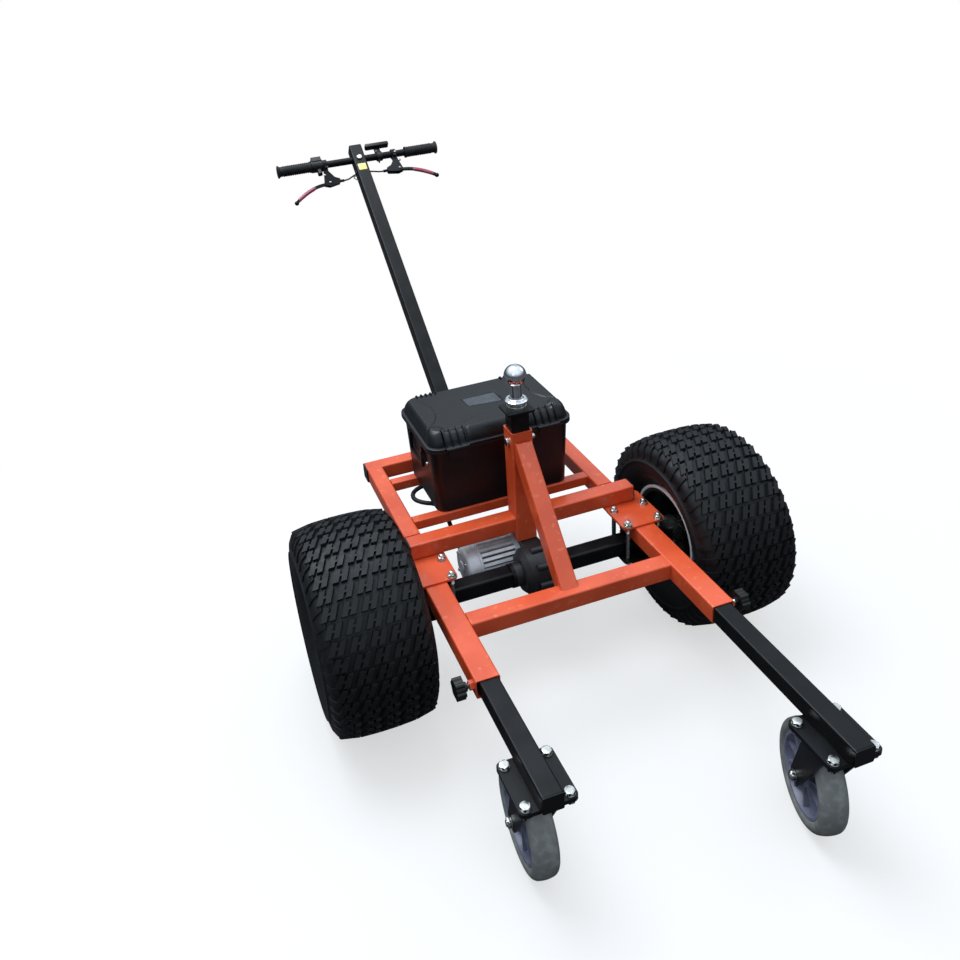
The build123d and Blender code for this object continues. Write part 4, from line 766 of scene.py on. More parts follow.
def buildWheelNuts():
    look = wheelNutLook
    seat = look["seat"]
    nutStart, nutEnd = seat + look["washerThick"], seat + look["nut"]
    for side, hand in sides.items():
        centre = tyrePlace(side)[0]
        parts = [
            washerLevels(seat, nutStart, look["washer"]),
            hexLevels(nutStart, nutEnd, look["flats"]),
            threadLevels(nutEnd - 1, look["studOut"], look["stud"], look["pitch"]),
        ]
        if hand < 0:
            parts = [[(-high, radius, flats) for high, radius, flats in levels[::-1]] for levels in parts]
        places = roundPlaces(centre, look["circle"] / 2, look["count"])
        setFasteners(f"wheelNuts_{side}", f"drive_wheel_{side}", places, parts, "x")


# Bright threads of the clamp screws, between each knob's hub and its weld nut. First and last are measured
# from the face of the hub, which stands a knob's length inside the outer end.
knobStudLook = {"knob": 18.0, "first": 11.0, "last": 6.0, "radius": 5.6, "depth": 0.5, "turns": 6}


def buildKnobStuds():
    look = knobStudLook
    for side, sign in sides.items():
        low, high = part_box(f"clamp_knob_{side}")
        face = max(abs(low.x), abs(high.x)) / mm - look["knob"]
        start, end = face - look["first"], face - look["last"]
        outline = [(start, 0)]
        for k in range(look["turns"] + 1):
            along = start + (end - start) * k / look["turns"]
            outline.append((along, look["radius"] - k % 2 * look["depth"]))
        outline.append((end, 0))
        middle = Vector((0, (low.y + high.y) / 2, (low.z + high.z) / 2))
        stud = lathe(f"knobStud_{side}", outline, middle, (sign, 0, 0), zinc, 32)
        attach(stud, f"clamp_knob_{side}")


print("fasteners")
buildAxleBolts()
buildCasterBolts()
buildWheelNuts()
buildKnobStuds()


# Caster wheels: grey tread on a slate core with stiffening ribs, turned about the axle of their joint.
casterLook = {"radius": 99.6, "half": 25.0, "tread": 24.0, "bandHalf": 20.0, "bandWall": 7.0, "hub": 20.0,
              "hubHalf": 26.7, "webHalf": 3.0, "ribs": 10, "ribHalf": 15.0, "ribThick": 4.5, "bore": 6.3,
              "bearing": 13.0}


def mirrored(outline):
    return [(-x, r) for x, r in reversed(outline)]


def jointAxis(name):
    joint = next(one for one in frame["joints"] if one["name"] == name)
    return Vector(joint["pos_m"]), Vector(joint["axis"]).normalized()


def buildCasterTread(side, centre, axis):
    look = casterLook
    radius, half, inner = look["radius"], look["half"], look["radius"] - look["tread"]
    crown, wall = (half - 11, radius - 1.6), (half - 1.6, radius - 8.5)
    flank = [(half - 4.5, inner), (half - 0.8, inner + 4)] + arc((half, inner + 8), wall, crown, 8)
    outline = flank + arc(crown, (0, radius), (-crown[0], crown[1]), 8)[1:-1] + mirrored(flank)
    return lathe(f"casterTread_{side}", outline, centre, axis, treadGrey, 96)


def buildCasterCore(side, centre, axis):
    look = casterLook
    inner, band, wall, hub = look["radius"] - look["tread"], look["bandHalf"], look["bandWall"], look["hub"]
    web, step = look["webHalf"], look["hubHalf"] - 4
    half = [(band, inner + 0.2), (band + 1.5, inner - 1), (band + 1.5, inner - wall + 1),
            (band, inner - wall), (web, inner - wall - 3), (web, hub + 2), (step - 2, hub),
            (step, hub - 1.5), (step, look["bearing"])]
    outline = [(0, inner + 0.2)] + half + mirrored(half)
    return lathe(f"casterCore_{side}", outline, centre, axis, coreSlate, 96)


# Straight ribs from the hub to the band on both faces of the web.
def buildCasterRibs(side, centre, axis):
    look = casterLook
    start = axis.orthogonal().normalized()
    across = axis.cross(start)
    inner, outer = look["hub"] - 2, look["radius"] - look["tread"] - look["bandWall"] + 1
    wing, foot = look["ribThick"] / 2, look["webHalf"] - 1.5
    points, faces = [], []
    for step in range(look["ribs"]):
        turn = 2 * pi * step / look["ribs"]
        out, aside = start * cos(turn) + across * sin(turn), across * cos(turn) - start * sin(turn)
        for face in (-1, 1):
            faces += ringFaces(2, 4, caps=(1, 1), first=len(points))
            for reach, high in ((inner, look["ribHalf"]), (outer, look["ribHalf"] + 2)):
                for shift, level in ((-wing, foot), (-wing, high), (wing, high), (wing, foot)):
                    points.append(centre + (out * reach + aside * shift + axis * (face * level)) * mm)
    return newPiece(f"casterRibs_{side}", points, faces, coreSlate, False)


# Bearing faces and bush ends that close the middle of the hub.
def buildCasterBearings(side, centre, axis):
    look = casterLook
    half, bore = look["hubHalf"], look["bore"]
    outline = [(half - 5, look["bearing"] + 0.2), (half - 5, bore + 3.5), (half, bore + 3.2), (half, bore)]
    return lathe(f"casterBearings_{side}", outline + mirrored(outline), centre, axis, zinc, 48)


def buildCasterWheels():
    for side in sides:
        centre, axis = jointAxis(f"caster_wheel_{side}_spin")
        tread = buildCasterTread(side, centre, axis)
        core = joinPieces(f"casterCentre_{side}", [buildCasterCore(side, centre, axis),
                                                   buildCasterRibs(side, centre, axis)])
        bearings = buildCasterBearings(side, centre, axis)
        for piece, slot in ((tread, "caster_rubber"), (core, "black_plastic"), (bearings, "zinc_steel")):
            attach(piece, f"caster_wheel_{side}")
            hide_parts(f"caster_wheel_{side}")


# Zinc axle bolt and nut of each fork.
forkLook = {"outer": 32.5, "flats": 18.4, "head": 7.6, "nut": 9.2, "washer": 23.0, "washerThick": 1.8,
            "diameter": 12.2, "tail": 12.1, "headTop": 10.1, "pitch": 1.75}


def buildForkBolts():
    look = forkLook
    outer, thick, head, radius = look["outer"], look["washerThick"], look["head"], look["diameter"] / 2
    for side in sides:
        centre, axis = jointAxis(f"caster_wheel_{side}_spin")
        parts = [
            hexLevels(-outer - head, -outer - thick, look["flats"]),
            washerLevels(-outer - thick, -outer, look["washer"]),
            washerLevels(outer, outer + thick, look["washer"]),
            hexLevels(outer + thick, outer + look["nut"], look["flats"]),
            threadLevels(outer + look["nut"] - 2, outer + look["tail"], look["diameter"], look["pitch"]),
            [(-outer - look["headTop"], radius - 1, 0), (-outer - look["headTop"] + 0.9, radius, 0),
             (-outer - head + 1, radius, 0)],
        ]
        piece = partsToPiece(f"forkBolt_{side}", parts, zinc)
        turn = Vector((0, 0, 1)).rotation_difference(axis).to_matrix().to_4x4()
        piece.data.transform(Matrix.Translation(centre) @ turn)
        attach(piece, f"caster_fork_{side}")


print("casters")
buildCasterWheels()
buildForkBolts()


# Battery case: a finely moulded lid, a rounded ledge on the body, latch zones and hinge combs

caseLook = {
    "centre": -12.0, "middle": 180.0, "halfWidth": 181.0, "halfDepth": 122.0, "corner": 32.0,
    "topCorner": 22.0, "bottom": 512.3, "top": 548.0, "shoulder": 8.0, "edge": 7.0, "sideBevel": 21.0,
    "frontBevel": 25.0, "wall": 3.5, "cornerSteps": 18, "longSteps": 150, "shortSteps": 92,
    "topRings": 58, "bevelRings": 16, "innerRings": 7, "floorRings": 4, "roundness": 0.6,
    "latchSpread": 113.0, "ribPitch": 17.0, "ribWidth": 3.4, "ribHeight": 5.2, "ribRoot": 4,
    "latchY": 53.0, "latchZ": 517.0, "ear": 4, "earBack": 62, "latchPin": 1.5,
}
hingeLook = {"spread": 112.0, "pitch": 12.0, "y": 308.5, "z": 512.0, "ribWidth": 3.6, "ribHeight": 4.2,
             "ribRoot": 3, "knuckle": 6, "knuckleHalf": 5.7, "web": ((-5.6, 298, 512.7), (5.6, 308, 517.4))}
# Each row is an inset from the lid's or the body's outline and a height.
lidRim = ((7.0, 7.2), (6.4, 6.5), (1.5, 6.2), (0.4, 5.8), (0.0, 5.0), (0.0, 1.2), (0.7, 0.2), (7.0, 0.2),
          (10.4, 7.0))
bodyLedge = ((-0.3, 510.9), (0.5, 511.7), (7.0, 511.7), (7.0, 505.7), (0.7, 505.7), (-0.3, 506.8))
panelCorners = [(-54, 221), (34, 221), (36, 166), (-52, 175)]


def ease(first, last, value):
    share = max(0.0, min(1.0, (value - first) / (last - first)))
    return share * share * (3 - 2 * share)


# Places and heights of the lid's relief, with x counted from the lid's middle to both sides.
reliefLook = {"padX": 174, "padY": 192, "padWide": 51, "padLong": 76, "padRise": 2.4, "archY": 106,
              "archBulge": 18, "archHalf": 78, "archRise": 2.6, "panelSunk": 2.2, "panelEdge": 0.9,
              "domeX": 153, "domeY": 94, "domeFoot": 25, "domeTop": 13, "domeRise": 4.6,
              "latchHalf": 28.5, "latchBack": 90, "latchSunk": 4.6}


# Rise of the lid's surface at a place: side pads, grip arch, bare panel, corner domes and latch zones.
def lidRelief(x, y):
    look = reliefLook
    away = x - caseLook["centre"]
    aside = abs(away)
    pad = sqrt(((aside - look["padX"]) / look["padWide"]) ** 2 + ((y - look["padY"]) / look["padLong"]) ** 2)
    rise = look["padRise"] * ease(1.02, 0.985, pad)
    half = look["archHalf"]
    arch = look["archY"] + look["archBulge"] * (1 - (away / half) ** 2)
    rise += look["archRise"] * ease(arch + 1.2, arch - 1.6, y) * ease(half + 1, half - 2, aside)
    inside = []
    for (ax, ay), (bx, by) in zip(panelCorners, panelCorners[1:] + panelCorners[:1]):
        run = sqrt((bx - ax) ** 2 + (by - ay) ** 2)
        inside.append(((by - ay) * (x - ax) - (bx - ax) * (y - ay)) / run)
    rise -= look["panelSunk"] * ease(-look["panelEdge"], look["panelEdge"], min(inside))
    dome = sqrt((aside - look["domeX"]) ** 2 + (y - look["domeY"]) ** 2)
    rise += look["domeRise"] * ease(look["domeFoot"], look["domeTop"], dome)
    zone, half, back = abs(aside - caseLook["latchSpread"]), look["latchHalf"], look["latchBack"]
    return rise - look["latchSunk"] * ease(half + 1, half - 1, zone) * ease(back + 4, back - 4, y)


# Points round a rectangle with round corners, which starts at the front right corner.
def ringPoints(halfX, halfY, corner, shift, height):
    look = caseLook
    corner = min(corner, halfY - 0.01)
    flatX, flatY = halfX - corner, halfY - corner
    turns = ((1, -1, -pi / 2), (1, 1, 0.0), (-1, 1, pi / 2), (-1, -1, pi))
    points = []
    for index, (sideX, sideY, start) in enumerate(turns):
        for step in range(look["cornerSteps"]):
            turn = start + pi / 2 * step / look["cornerSteps"]
            points.append((sideX * flatX + corner * cos(turn), sideY * flatY + corner * sin(turn)))
        nextX, nextY, end = turns[(index + 1) % 4]
        first = (sideX * flatX + corner * cos(start + pi / 2), sideY * flatY + corner * sin(start + pi / 2))
        last = (nextX * flatX + corner * cos(end), nextY * flatY + corner * sin(end))
        steps = look["shortSteps"] if index % 2 == 0 else look["longSteps"]
        for step in range(steps):
            share = step / steps
            points.append([a + (b - a) * share for a, b in zip(first, last)])
    return [(look["centre"] + x, look["middle"] + shift + y, height) for x, y in points]


# A shell of rings of equal count; relief is added to a ring by its share.
def ringShell(name, rings, closed):
    points = []
    for *ring, share in rings:
        for x, y, z in ringPoints(*ring):
            points.append(at(x, y, z + (lidRelief(x, y) * share if share else 0.0)))
    return newPiece(name, points, ringFaces(len(rings), len(points) // len(rings), closed), caseTexture)


# Rings that follow the outline of the lid or the body at insets and heights.
def outlineRings(rows, base):
    halfX, halfY, corner = (caseLook[key] for key in ("halfWidth", "halfDepth", "corner"))
    return [(halfX - inset, halfY - inset, corner - inset, 0, base + height, 0) for inset, height in rows]


# Inset of the bevel and its drop, from 0 at the lid's top edge to 1 at its shoulder.
def bevelCurve(share, reach, drop):
    blend = caseLook["roundness"]
    turn = share * pi / 2
    inset = reach * (blend * (1 - sin(turn)) + (1 - blend) * (1 - share))
    fall = drop * (blend * (1 - cos(turn)) + (1 - blend) * share)
    return inset, fall


# A ring on the bevel, sunk by the wall for the inside of the lid.
def bevelRing(share, sunk, drop, corner, relief):
    look = caseLook
    edge = look["edge"] + sunk
    sideInset, fall = bevelCurve(share, look["sideBevel"] - look["edge"], drop)
    frontInset = bevelCurve(share, look["frontBevel"] - look["edge"], drop)[0]
    halfX = look["halfWidth"] - edge - sideInset
    halfY = look["halfDepth"] - edge - (frontInset + sideInset) / 2
    return (halfX, halfY, corner, (frontInset - sideInset) / 2, look["top"] - sunk - fall, relief)


# The lid's skin from the middle of its top over the bevel and the rim to the inside.
def buildLid():
    look = caseLook
    top, wall = look["top"], look["wall"]
    drop = top - look["bottom"] - look["shoulder"]
    halfX, halfY, corner, shift = bevelRing(0, 0, drop, look["topCorner"], 1)[:4]
    rings = []
    for step in range(look["topRings"]):
        inset = halfY * (1 - step / look["topRings"])
        rings.append((halfX - inset, halfY - inset, corner, shift, top, 1))
    for step in range(look["bevelRings"] + 1):
        share = step / look["bevelRings"]
        rings.append(bevelRing(share, 0, drop, corner + 4 * share, ease(1.0, 0.82, share)))
    rings += outlineRings(lidRim, look["bottom"])
    for step in range(look["innerRings"] + 1):
        rings.append(bevelRing(1 - step / look["innerRings"], wall, drop - 1, corner - 2, 0))
    halfX, halfY, corner, shift = rings[-1][:4]
    for step in range(1, look["floorRings"] + 1):
        inset = (halfY - 0.005) * step / look["floorRings"]
        rings.append((halfX - inset, halfY - inset, corner, shift, top - wall, 0))
    return ringShell("lidShell", rings, False)


# Raised rib along a path, with its sizes from the look. Each stop has a point and the way out of the
# surface.
def ribAlong(name, stops, look):
    half, height, depth = look["ribWidth"] / 2, look["ribHeight"], look["ribRoot"]
    bend = 0.8
    section = [(-half, -depth), (-half, height - bend), (-half + bend, height), (half - bend, height),
               (half, height - bend), (half, -depth)]
    points = []
    for point, outward in stops:
        for side, rise in section:
            points.append(at(*(Vector(point) + Vector((side, 0, 0)) + Vector(outward).normalized() * rise)))
    return newPiece(name, points, ringFaces(len(stops), len(section), caps=(1, -1)), caseTexture)


# Stops down the front or the back bevel, from the top edge to the shoulder and the rim.
def bevelStops(x, front):
    look = caseLook
    drop = look["top"] - look["bottom"] - look["shoulder"]
    reach = (look["frontBevel"] if front else look["sideBevel"]) - look["edge"]
    hand = -1 if front else 1
    edge = look["middle"] + hand * (look["halfDepth"] - look["edge"])
    stops = [((x, edge - hand * (reach + 7), look["top"]), (0, 0, 1))]
    steps = 8
    for step in range(steps + 1):
        inset, fall = bevelCurve(step / steps, reach, drop)
        lean = step / steps * pi / 2 * 0.8
        stops.append(((x, edge - hand * inset, look["top"] - fall), (0, hand * sin(lean), cos(lean))))
    stops.append(((x, edge + hand * 3, look["bottom"] + 2), (0, hand, 0.15)))
    return stops


# A box between two corners, in beam places or in those of a place given as a matrix.
def roundedBox(name, low, high, chamfer, material, place=None):
    work = bmesh.new()
    bmesh.ops.create_cube(work, size=1.0)
    for vert in work.verts:
        for axis in range(3):
            vert.co[axis] = (low[axis] if vert.co[axis] < 0 else high[axis])
    bmesh.ops.bevel(work, geom=list(work.edges), offset=chamfer, segments=2, profile=0.5, affect="EDGES")
    points = [place @ (vert.co * mm) if place else at(*vert.co) for vert in work.verts]
    faces = [tuple(vert.index for vert in face.verts) for face in work.faces]
    work.free()
    return newPiece(name, points, faces, material)


# Round part along X between two places, by its middle in Y and Z.
def barAlongX(name, first, last, y, z, radius, material, soft=0.6):
    outline = [(first, 0), (first, radius - soft), (first + soft, radius), (last - soft, radius),
               (last, radius - soft), (last, 0)]
    return lathe(name, outline, at(0, y, z), (1, 0, 0), material, 32)


# One rib over the front bevel, with an ear for the latch pin where it is an outer one.
def latchRib(x, outermost):
    look = caseLook
    y, z, half, ear = look["latchY"], look["latchZ"], look["ribWidth"] / 2, look["ear"]
    pieces = [ribAlong("latchRib", bevelStops(x, True), look)]
    if outermost:
        low, high = (x - half, y, z - ear), (x + half, look["earBack"], z + ear)
        pieces += [barAlongX("latchEar", x - half, x + half, y, z, ear, caseTexture),
                   roundedBox("earRoot", low, high, 0.5, caseTexture)]
    return pieces


# One rib over the back bevel, with a knuckle round the hinge pin where it has one.
def hingeRib(x, knuckled):
    look = hingeLook
    half, radius = look["knuckleHalf"], look["knuckle"]
    pieces = [ribAlong("hingeRib", bevelStops(x, False), look)]
    if knuckled:
        low, high = ((x + aside, y, z) for aside, y, z in look["web"])
        pieces += [barAlongX("lidKnuckle", x - half, x + half, look["y"], look["z"], radius, caseTexture),
                   roundedBox("knuckleWeb", low, high, 0.4, caseTexture)]
    return pieces


def buildLidFittings():
    look = caseLook
    pieces = []
    for hand in (-1, 1):
        group = look["centre"] + hand * look["latchSpread"]
        for step in (-1.5, -0.5, 0.5, 1.5):
            pieces += latchRib(group + step * look["ribPitch"], abs(step) > 1)
        first, last = group - 1.5 * look["ribPitch"], group + 1.5 * look["ribPitch"]
        y, z, radius = look["latchY"], look["latchZ"], look["latchPin"]
        pieces.append(barAlongX("latchPin", first, last, y, z, radius, zinc, 0.3))
        hinge = look["centre"] + hand * hingeLook["spread"]
        for step in range(5):
            pieces += hingeRib(hinge + (step - 2) * hingeLook["pitch"], step % 2 == 1)
    return pieces


# Zinc screws in both side walls of the body.
def buildCaseScrews():
    look = {"depths": (119, 241), "height": 455, "wall": 170.0}
    profile = ((0.0, 0), (0.0, 5.2), (2.6, 5.2), (4.2, 4.0), (4.8, 2.0), (4.8, 0))
    outline = [(look["wall"] + rise, radius) for rise, radius in profile]
    screws = []
    for hand in (-1, 1):
        for y in look["depths"]:
            centre = at(caseLook["centre"], y, look["height"])
            screws.append(lathe("sideScrew", outline, centre, (hand, 0, 0), zinc, 28))
    return joinPieces("caseScrews", screws)


# Flat plate with nothing on it, a little inside the panel's corners.
def buildBarePlate():
    look = {"inset": 3.5, "sunk": 2.25, "thick": 0.5}
    inset, level = look["inset"], caseLook["top"] - look["sunk"]
    middle = [sum(values) / len(panelCorners) for values in zip(*panelCorners)]
    spots = [[value + inset * (1 if value < half else -1) for value, half in zip(corner, middle)]
             for corner in panelCorners]
    points = [at(x, y, level + rise) for rise in (0, look["thick"]) for x, y in spots]
    return newPiece("barePlate", points, ringFaces(2, len(spots), caps=(1, 1)), plateGrey, False)


def buildCase():
    lid = joinPieces("caseLid", [buildLid()] + buildLidFittings())
    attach(lid, "case_lid")
    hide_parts("case_lid")
    ledge = ringShell("caseLedge", outlineRings(bodyLedge, 0), True)
    screws = buildCaseScrews()
    plate = buildBarePlate()
    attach(plate, "case_lid")
    for piece, slot in ((ledge, "case_plastic"), (screws, "zinc_steel")):
        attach(piece, "chassis")


print("battery case")
buildCase()


# Handle: places are x across, s up the column from the bar, n out of the column's upper face

handleLook = {"tilt": 50.8, "bar": 11.1, "column": 20.0, "clampLeft": -112.0, "clampRight": 117.0,
              "tiltLeft": 16.0}
barLow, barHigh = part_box("handlebar")
handleTurn = Matrix.Rotation(radians(90 - handleLook["tilt"]), 3, "X")
handlePlace = Matrix.Translation((barLow + barHigh) / 2) @ handleTurn.to_4x4()


def onHandle(x, s, n):
    return handlePlace @ (Vector((x, s, n)) * mm)


# Turned part on the handle by a closed outline, with its middle and axis in handle places.
def handleLathe(name, outline, centre, axis, material, steps=40):
    return lathe(name, outline, onHandle(*centre), handleTurn @ Vector(axis), material, steps)


gripLook = {"start": 156.0, "end": 260.0, "radius": 15.6, "rib": 16.9, "ribPitch": 7.0, "collar": 18.0,
            "flange": 20.4}


# Ribbed rubber sleeve from its collar to the closed end flange, drawn for the right hand.
def buildGrip(name, hand):
    look = gripLook
    start, end, radius, collar = look["start"], look["end"], look["radius"], look["collar"]
    rib, bore = look["rib"], handleLook["bar"] + 0.2
    outline = [(start, bore), (start, collar - 1), (start + 0.8, collar), (start + 4.4, collar),
               (start + 5.2, 16.4)]
    along = start + 8.0
    while along < end - 12:
        outline += [(along, radius), (along + 1.0, rib), (along + 3.6, rib), (along + 4.6, radius)]
        along += look["ribPitch"]
    outline += [(end - 4.5, radius), (end - 1.5, collar), (end, 19.8), (end + 2.0, look["flange"]),
                (end + 3.4, 19.6), (end + 4.0, 17.5), (end + 4.0, 0), (end + 1.0, 0), (end + 1.0, bore)]
    return handleLathe(name, outline, (0, 0, 0), (hand, 0, 0), rubber, 48)


def buildGrips():
    for name, hand, body, node in (("gripRight", 1, "chassis", "right_grip"),
                                   ("gripThrottle", -1, "throttle_grip", "throttle_grip")):
        piece = buildGrip(name, hand)
        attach(piece, body)
        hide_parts(node)


# Points of a smooth run through given places, rounded off by cubic spans.
def smoothRun(places, steps=10):
    spots = [Vector(place) for place in places]
    spots = [2 * spots[0] - spots[1]] + spots + [2 * spots[-1] - spots[-2]]
    run = []
    for k in range(1, len(spots) - 2):
        a, b, c, d = spots[k - 1:k + 3]
        for step in range(steps):
            t = step / steps
            run.append(0.5 * (2 * b + (c - a) * t + (2 * a - 5 * b + 4 * c - d) * t ** 2
                              + (3 * b - a - 3 * c + d) * t ** 3))
    return run + [spots[-2]]


# Round tube along a run of points, its radius given by a share from 0 to 1, with flat ends.
def tubeAlong(name, run, radiusAt, material, steps=18):
    last = len(run) - 1
    side = (run[1] - run[0]).orthogonal().normalized()
    points = []
    for k, spot in enumerate(run):
        ahead = (run[min(k + 1, last)] - run[max(k - 1, 0)]).normalized()
        side = (side - ahead * side.dot(ahead)).normalized()
        across = ahead.cross(side)
        radius = radiusAt(k / last) * mm
        for step in range(steps):
            turn = 2 * pi * step / steps
            points.append(spot + (side * cos(turn) + across * sin(turn)) * radius)
    return newPiece(name, points, ringFaces(len(run), steps, caps=(1, -1)), material)


leverLook = {"path": ((46, -72.5), (72, -83.6), (98, -98.5), (106, -104.5)), "radius": 5.9,
             "thinStart": 0.18, "thinEnd": 0.1}


# Vinyl sleeve dipped over each lever's blade between its knee and its ball end.
def buildLeverSleeves():
    look = leverLook

    def radiusAt(share):
        thinner = look["thinStart"] * ease(0.12, 0, share) + look["thinEnd"] * ease(0.9, 1, share)
        return look["radius"] * (1 - thinner)

    for side, hand in sides.items():
        clamp = handleLook["clampLeft"] if hand < 0 else handleLook["clampRight"]
        tilt = radians(handleLook["tiltLeft"]) if hand < 0 else 0.0
        places = [onHandle(clamp + hand * x, s * cos(tilt), s * sin(tilt)) for x, s in look["path"]]
        sleeve = tubeAlong(f"leverSleeve_{side}", smoothRun(places), radiusAt, vinyl)
        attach(sleeve, f"brake_lever_{side}")


# Domed screw head with a hexagon recess, its seat at a handle place and its axis out of the face.
def domedScrew(place, axis, radius, height):
    floor = height * 0.35
    outline = [(0, 0), (0, radius), (floor, radius), (height * 0.75, radius * 0.86), (height, radius * 0.55),
               (height, radius * 0.45), (floor, radius * 0.42), (floor, 0)]
    return handleLathe("clampScrew", outline, place, axis, zinc, 24)


# Three screws on each clamp: each place is x across, the drop below the bar and the height over the bar.
clampScrewLook = {"radius": 4.2, "height": 3.6, "left": ((-109, 13, 11.5), (-120, 38, 8), (-108, 64, 8)),
                  "right": ((121, 4, 15.4), (128, 34, 8), (121, 64, 8))}


def buildHandleScrews():
    look = clampScrewLook
    screws = []
    for side, lean in (("left", radians(handleLook["tiltLeft"])), ("right", 0.0)):
        for x, drop, n in look[side]:
            place = (x, -drop * cos(lean) - n * sin(lean), n * cos(lean) - drop * sin(lean))
            screws.append(domedScrew(place, (0, -sin(lean), cos(lean)), look["radius"], look["height"]))
    piece = joinPieces("clampScrews", screws)
    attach(piece, "chassis")


# Slim display: round clamp with a hook ring, short stem, thin case and a dark window towards the operator.
displayLook = {"middle": 70, "stem": ((61, 10, -5), (79, 33, 6)), "case": ((32, 31.8, -3), (110, 45, 18)),
               "window": ((37, 44.8, 0.5), (105, 45.5, 14.5)), "hook": (65, -18.5, 0), "hookMiddle": 5.1,
               "hookWire": 1.9}


def buildDisplay():
    look = displayLook
    ring = [(-9, 11.3), (-9, 14.6), (-8.2, 15.4), (8.2, 15.4), (9, 14.6), (9, 11.3)]
    wire = look["hookWire"]
    hook = [(wire * sin(k * pi / 6), look["hookMiddle"] + wire * cos(k * pi / 6)) for k in range(12)]
    pieces = [handleLathe("displayClamp", ring, (look["middle"], 0, 0), (1, 0, 0), plainAbs),
              roundedBox("displayStem", *look["stem"], 1.5, plainAbs, handlePlace),
              roundedBox("displayCase", *look["case"], 3.0, plainAbs, handlePlace),
              handleLathe("hookRing", hook, look["hook"], (1, 0, 0), plainAbs, 24)]
    case = joinPieces("slimDisplay", pieces)
    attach(case, "chassis")
    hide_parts("display")
    glass = roundedBox("displayWindow", *look["window"], 0.3, window, handlePlace)
    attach(glass, "chassis")


# Bare yellow label on the column's upper face, rubber grommets where the cables go in, and a wire loop.
columnLook = {"label": ((-13, -58), (13, -33)), "labelThick": 0.35, "grommetDrop": -52, "wire": 1.4,
              "loop": ((-20, -66, 6), (-31, -70, 6), (-35, -74, 6), (-31, -80, 6), (-20, -88, 6))}


def buildColumnFittings():
    look, face = columnLook, handleLook["column"]
    low, high = look["label"]
    low, high = (*low, face - 0.05), (*high, face + look["labelThick"])
    label = roundedBox("bareLabel", low, high, 0.12, labelYellow, handlePlace)
    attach(label, "chassis")
    ring = [(-1.5, 3.0), (-1.5, 8.0), (0.6, 8.6), (2.6, 7.6), (3.2, 5.0), (3.2, 3.0)]
    fittings = [handleLathe("grommet", ring, (hand * face, look["grommetDrop"], 0), (hand, 0, 0), rubber, 28)
                for hand in (-1, 1)]
    loop = smoothRun([onHandle(*corner) for corner in look["loop"]])
    fittings.append(tubeAlong("wireLoop", loop, lambda share: look["wire"], rubber, 12))
    piece = joinPieces("columnFittings", fittings)
    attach(piece, "chassis")


print("handle")
buildGrips()
buildLeverSleeves()
buildHandleScrews()
buildDisplay()
buildColumnFittings()


# Motor: ribbed aluminium body between a rounded end bell and a bolted flange, axis along X. The rib shares
# are stops along one pitch, each with 1 where the rib stands. The gland sits under the power cable.

motorLook = {"bellEnd": -156.0, "bodyStart": -114.0, "bodyEnd": -29.0, "flangeEnd": -17.0, "centreY": 10.0,
             "centreZ": 224.0, "body": 47.8, "groove": 7.5, "ribs": 24, "bell": 45.0, "flange": 46.8,
             "screws": 4, "screwCircle": 34.0, "ribShares": ((0.0, 0), (0.04, 1), (0.60, 1), (0.64, 0)),
             "enamelAndShade": 1.2, "glandX": -135.0, "glandRise": 10.0}
glandOutline = [(46, 0), (46, 9), (58, 9), (58.6, 8.2), (60, 8.2), (60.6, 9), (64.8, 9), (66, 7.6), (66, 0)]


def buildMotorBody():
    look = motorLook
    start, end = look["bodyStart"], look["bodyEnd"]
    profile = []
    for rib in range(look["ribs"]):
        for share, high in look["ribShares"]:
            radius = look["body"] - (0 if high else look["groove"])
            profile.append((2 * pi * (rib + share) / look["ribs"], radius))
    levels = [(start, 0.6), (start + 0.8, 0.0), (end - 0.8, 0.0), (end, 0.6)]
    points = []
    for x, loss in levels:
        for turn, radius in profile:
            reach = radius - loss
            points.append(at(x, look["centreY"] + reach * cos(turn), look["centreZ"] + reach * sin(turn)))
    faces = ringFaces(len(levels), len(profile), caps=(1, -1))
    return newPiece("motorBody", points, faces, aluminium, False)


# Turned parts of the motor about its own axis: painted shade on the floors of the grooves, as a black core
# in the casting's black just above them, then the bell and the flange.
def motorOutlines():
    look = motorLook
    bell, end, flange = look["bell"], look["bellEnd"], look["flange"]
    start, stop, last = look["bodyStart"], look["bodyEnd"], look["flangeEnd"]
    # The core's black top, a little above each groove floor, is painted shade between the ribs, not a real
    # coat.
    floor = look["body"] - look["groove"] + look["enamelAndShade"]
    core = [(start + 0.4, 0), (start + 0.4, floor), (stop - 0.4, floor), (stop - 0.4, 0)]
    cap = [(end, 0), (end, 14), (end + 2, 15)] + arc((end + 2.4, 33), (end + 5, 41), (end + 13, bell), 8)
    cap += [(start - 9, bell), (start - 8, bell - 1.5), (start - 6, bell - 1.5), (start - 5, bell),
            (start + 0.2, bell), (start + 0.2, 0)]
    plate = [(stop - 0.2, 0), (stop - 0.2, flange - 1), (stop + 1, flange), (last - 1, flange),
             (last, flange - 1), (last, 0)]
    return (("motorCore", core, casting), ("motorBell", cap, aluminium), ("motorFlange", plate, aluminium))


